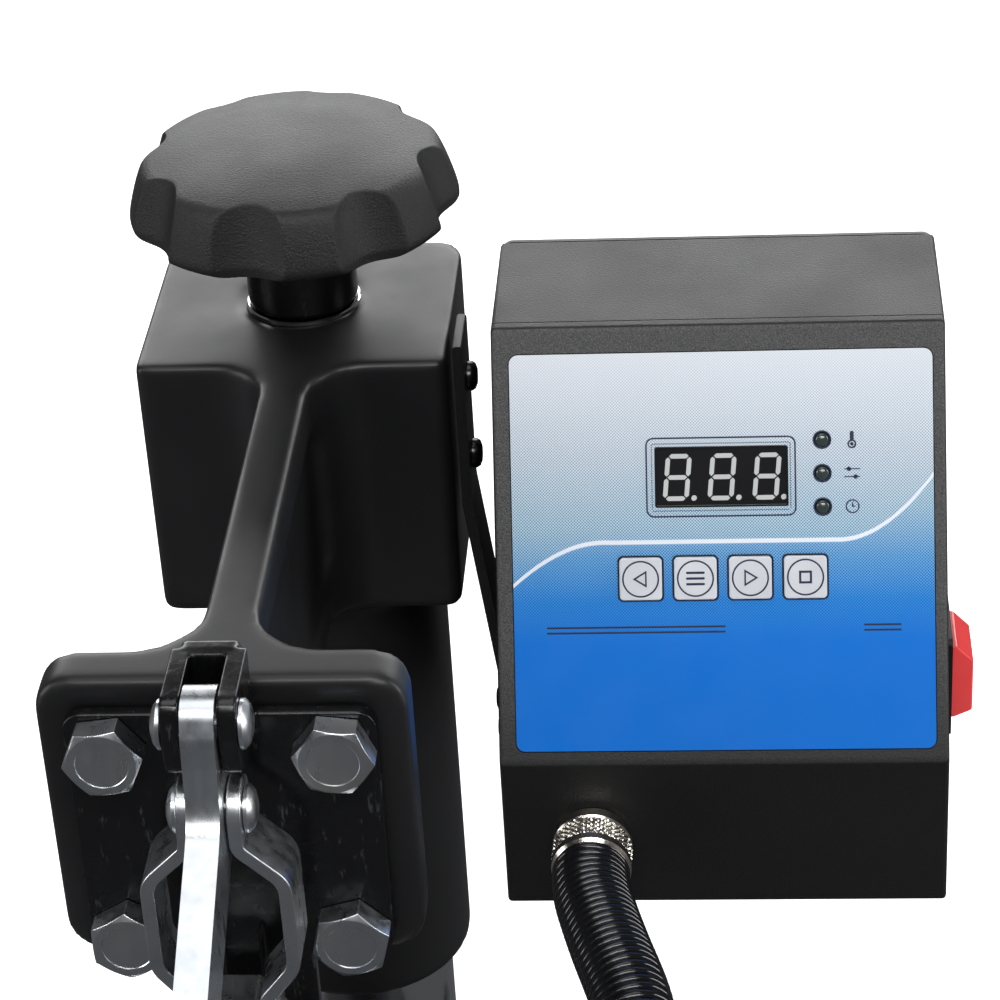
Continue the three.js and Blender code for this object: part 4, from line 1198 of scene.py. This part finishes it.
def key_signs(u):
    """Outlines for each key, by its place: back, list, forward and stop."""
    v = KEY_V
    back = [(-2.2, 0), (1.7, 2.4), (1.7, -2.4)]
    outer = {KEY_PLACES[0]: back, KEY_PLACES[2]: [(-a, b) for a, b in back],
             KEY_PLACES[3]: [(-1.8, -1.8), (1.8, -1.8), (1.8, 1.8), (-1.8, 1.8)]}
    if u in outer:
        shape = outer[u]
        middle = Vector((sum(a for a, _ in shape) / len(shape), 0))
        inner = [tuple(middle + (Vector(p) - middle) * 0.66) for p in shape]
        return [band("z", [(u + a, v + b) for a, b in shape],
                     [(u + a, v + b) for a, b in inner], *KEY_LAYER)]
    return [prism("z", slab(u, v + row, 2.6, 0.32, 0.2), *KEY_LAYER) for row in (-1.6, 0, 1.6)]


def make_keys():
    names = (("key_left", "left_key"), ("key_mode", "mode_key"), ("key_right", "right_key"),
             ("key_stop", "stop_key"))
    for (node, body), u in zip(names, KEY_PLACES):
        cap = build(f"{node}_cap", prism("z", slab(u, KEY_V, 6, 6, 1.2), -4, 1.4), PANEL)
        finish(bevel(cap, 0.45, 3), KEY, body, node)
        marks = [band("z", circle(u, KEY_V, 5.2, 48), circle(u, KEY_V, 4.75, 48), *KEY_LAYER)] + key_signs(u)
        finish(build(f"{node}_sign", merged(*marks), PANEL), INK, body, smooth=0)


def make_rocker():
    def frame(grow, radius):
        return slab(ROCKER_Y, ROCKER_Z, 10.5 + grow, 13.5 + grow, radius)
    bezel = unite("switch_bezel", prism("x", frame(1, 1), CASE_RIGHT - 14, CASE_RIGHT + 1),
                  prism("x", frame(3, 2), CASE_RIGHT + 0.3, CASE_RIGHT + 2))
    carve(bezel, prism("x", frame(0, 0.6), CASE_RIGHT - 12, CASE_RIGHT + 3))
    finish(bevel(bezel, 0.4, 2, 40), CASE, "head", "rocker_bezel")
    face = soften([(CASE_RIGHT - 6, ROCKER_Z - 12.5), (CASE_RIGHT + 3, ROCKER_Z - 12.5),
                   (CASE_RIGHT + 8.2, ROCKER_Z - 10),
                   (CASE_RIGHT + 8.2, ROCKER_Z + 7), (CASE_RIGHT + 3.4, ROCKER_Z + 12),
                   (CASE_RIGHT - 6, ROCKER_Z + 12)],
                  [0.5, 1, 1, 0.8, 1, 0.5], 4)
    rocker = build("switch_rocker", prism("y", face, ROCKER_Y - 9.5, ROCKER_Y + 9.5))
    finish(bevel(rocker, 0.7, 3, 40), RED, "power_rocker", "rocker")
    ribs = [prism("y", rounded(CASE_RIGHT + 7.9, CASE_RIGHT + 8.5, ROCKER_Z - 8, ROCKER_Z + 5, 0.25),
                  y - 0.35, y + 0.35)
            for y in (ROCKER_Y - 5, ROCKER_Y, ROCKER_Y + 5)]
    finish(build("switch_ribs", merged(*ribs)), RED, "power_rocker", smooth=0)


def make_inlet():
    low, high = design_box("power_inlet")
    x, z = (low.x + high.x) / 2, (low.z + high.z) / 2
    shroud = soften([(x - 11, z - 7), (x + 11, z - 7), (x + 11, z + 2), (x + 6.5, z + 7), (x - 6.5, z + 7),
                     (x - 11, z + 2)],
                    1.2, 4)
    inlet = unite("mains_inlet", prism("y", slab(x, z, 13.4, 9.4, 1.5), low.y, high.y - 2),
                  prism("y", rounded(low.x, high.x, low.z, high.z, 5), high.y - 2.9, high.y))
    carve(inlet, prism("y", shroud, high.y - 19, high.y + 1))
    finish(bevel(inlet, 0.5, 2, 40), CASE, "head", "power_inlet")
    for i, (across, up) in enumerate(((-5, -2.4), (5, -2.4), (0, 2.4))):
        pin = prism("y", slab(x + across, z + up, 1, 2, 0.4), high.y - 20, high.y - 4)
        finish(bevel(build(f"inlet_pin_{i + 1}", pin), 0.25, 2), NICKEL, "head")
    for i, side in enumerate(SIDES):
        screw(f"inlet_screw_{i + 1}", "y", x + side * 20, z, high.y, high.y + 1.2, 2.6, ZINC, "head")


def make_hose_connector():
    back, front, x, z = CASE_FRONT - 0.3, HOSE_ROUTE[0][1], UNION_X, UNION_Z
    low, high, ridges, rise = front + 3.9, back - 5.0, 36, 0.34
    grip = [(10.9, low + (high - low) * i / 26) for i in range(27)]
    profile = [(5, front + 0.3), (8.6, front), (10.6, front), (11.4, front + 0.9), (11.4, front + 3.2),
               (10.9, front + 3.7),
               *grip, (10.9, back - 4.8), (11.4, back - 4.3), (11.4, back - 1.2), (10.6, back), (8, back),
               (8, back + 4), (5, back + 4), (5, front + 0.3)]

    def knurl(angle, along, radius):
        if not (low < along < high and radius == 10.9):
            return 1
        climb = (along - low) * ridges / 11
        one = abs(math.sin((ridges * angle + climb) / 2))
        two = abs(math.sin((ridges * angle - climb) / 2))
        return 1 + rise * (1 - max(one, two) ** 2) * 2 / radius

    nut = build("hose_union", lathe(profile, (x, z), "y", 240, knurl))
    finish(nut, NICKEL, "head", "hose_connector", smooth=30)


def make_bracket():
    near, far, thickness, middle = 46.8, 55.4, 3, -28
    head_screws, case_screws = (-12, -38), (-126, -137)
    line = [(near, 3), (near, -50), (far, -120), (far, -143)]
    outline = line + [(x + thickness, z) for x, z in reversed(line)]
    strip = build("controller_strap", prism("y", soften(outline, [1, 20, 20, 1, 1, 20, 20, 1]),
                                            middle - 10, middle + 10))
    carve(strip, *[rod("x", 2.6, near - 1, near + 4, middle, z, 0.1) for z in head_screws],
          *[rod("x", 2.6, far - 1, far + 4, middle, z, 0.1) for z in case_screws])
    finish(bevel(strip, 0.5, 2), POWDER, "head", "controller_bracket")
    for i, z in enumerate(head_screws):
        screw(f"strap_screw_{i + 1}", "x", middle, z, near + 3.2, near + 6, 4.4, GLOSS, "head",
              f"bracket_screw_{i + 1}")
    for i, z in enumerate(case_screws):
        screw(f"case_strap_screw_{i + 1}", "x", middle, z, far - 0.2, far - 3, 4.4, GLOSS, "head",
              f"case_screw_{i + 1}")


make_case()
make_label()
make_display()
make_keys()
make_rocker()
make_inlet()
make_hose_connector()
make_bracket()


# ---------- room ----------
# Each light's place, width and length, all in metres, and its power.
LIGHTS = {
    "back": ((0.0, 1.4, 0.80), (2.0, 0.56), 16),
    "top": ((-0.1, 0.15, 1.9), (1.2, 0.9), 5.5),
    "front_top": ((0.3, -1.3, 1.9), (1.2, 0.7), 17.5),
    "strip": ((0.0, -0.55, 1.2), (1.2, 0.05), 3),
    "left": ((-1.5, -0.3, 0.8), (0.4, 1.2), 8),
    "right": ((1.6, 0.1, 0.7), (0.4, 1.2), 11),
}


def area_light(name, place, target, size, power):
    data = bpy.data.lights.new(name, "AREA")
    data.shape = "RECTANGLE"
    data.size, data.size_y = size
    data.energy = power
    light = bpy.data.objects.new(name, data)
    light.location = place
    light.rotation_mode = "QUATERNION"
    light.rotation_quaternion = (Vector(target) - Vector(place)).to_track_quat("-Z", "Y")
    bpy.context.scene.collection.objects.link(light)


def make_room():
    size = 6.0
    mesh = bpy.data.meshes.new("floor")
    mesh.from_pydata([(-size, -size, 0), (size, -size, 0), (size, size, 0), (-size, size, 0)], [],
                     [(0, 1, 2, 3)])
    floor = bpy.data.objects.new("floor", mesh)
    bpy.context.scene.collection.objects.link(floor)
    look = Look("pale_floor", (0.9, 0.9, 0.9), 0.9)
    look.shader.inputs["Emission Color"].default_value = (1, 1, 1, 1)
    look.shader.inputs["Emission Strength"].default_value = 0.7
    mesh.materials.append(look.material)
    floor.visible_glossy = False
    for name, (place_m, size_m, power) in LIGHTS.items():
        area_light(name, place_m, (0, 0, 0.3), size_m, power)
    world = bpy.data.worlds.new("room")
    world.use_nodes = True
    backdrop = world.node_tree.nodes["Background"]
    backdrop.inputs[0].default_value = (0.93, 0.95, 1.0, 1)
    backdrop.inputs[1].default_value = 0.09
    bpy.context.scene.world = world
    bpy.context.scene.view_settings.view_transform = "Standard"


make_room()
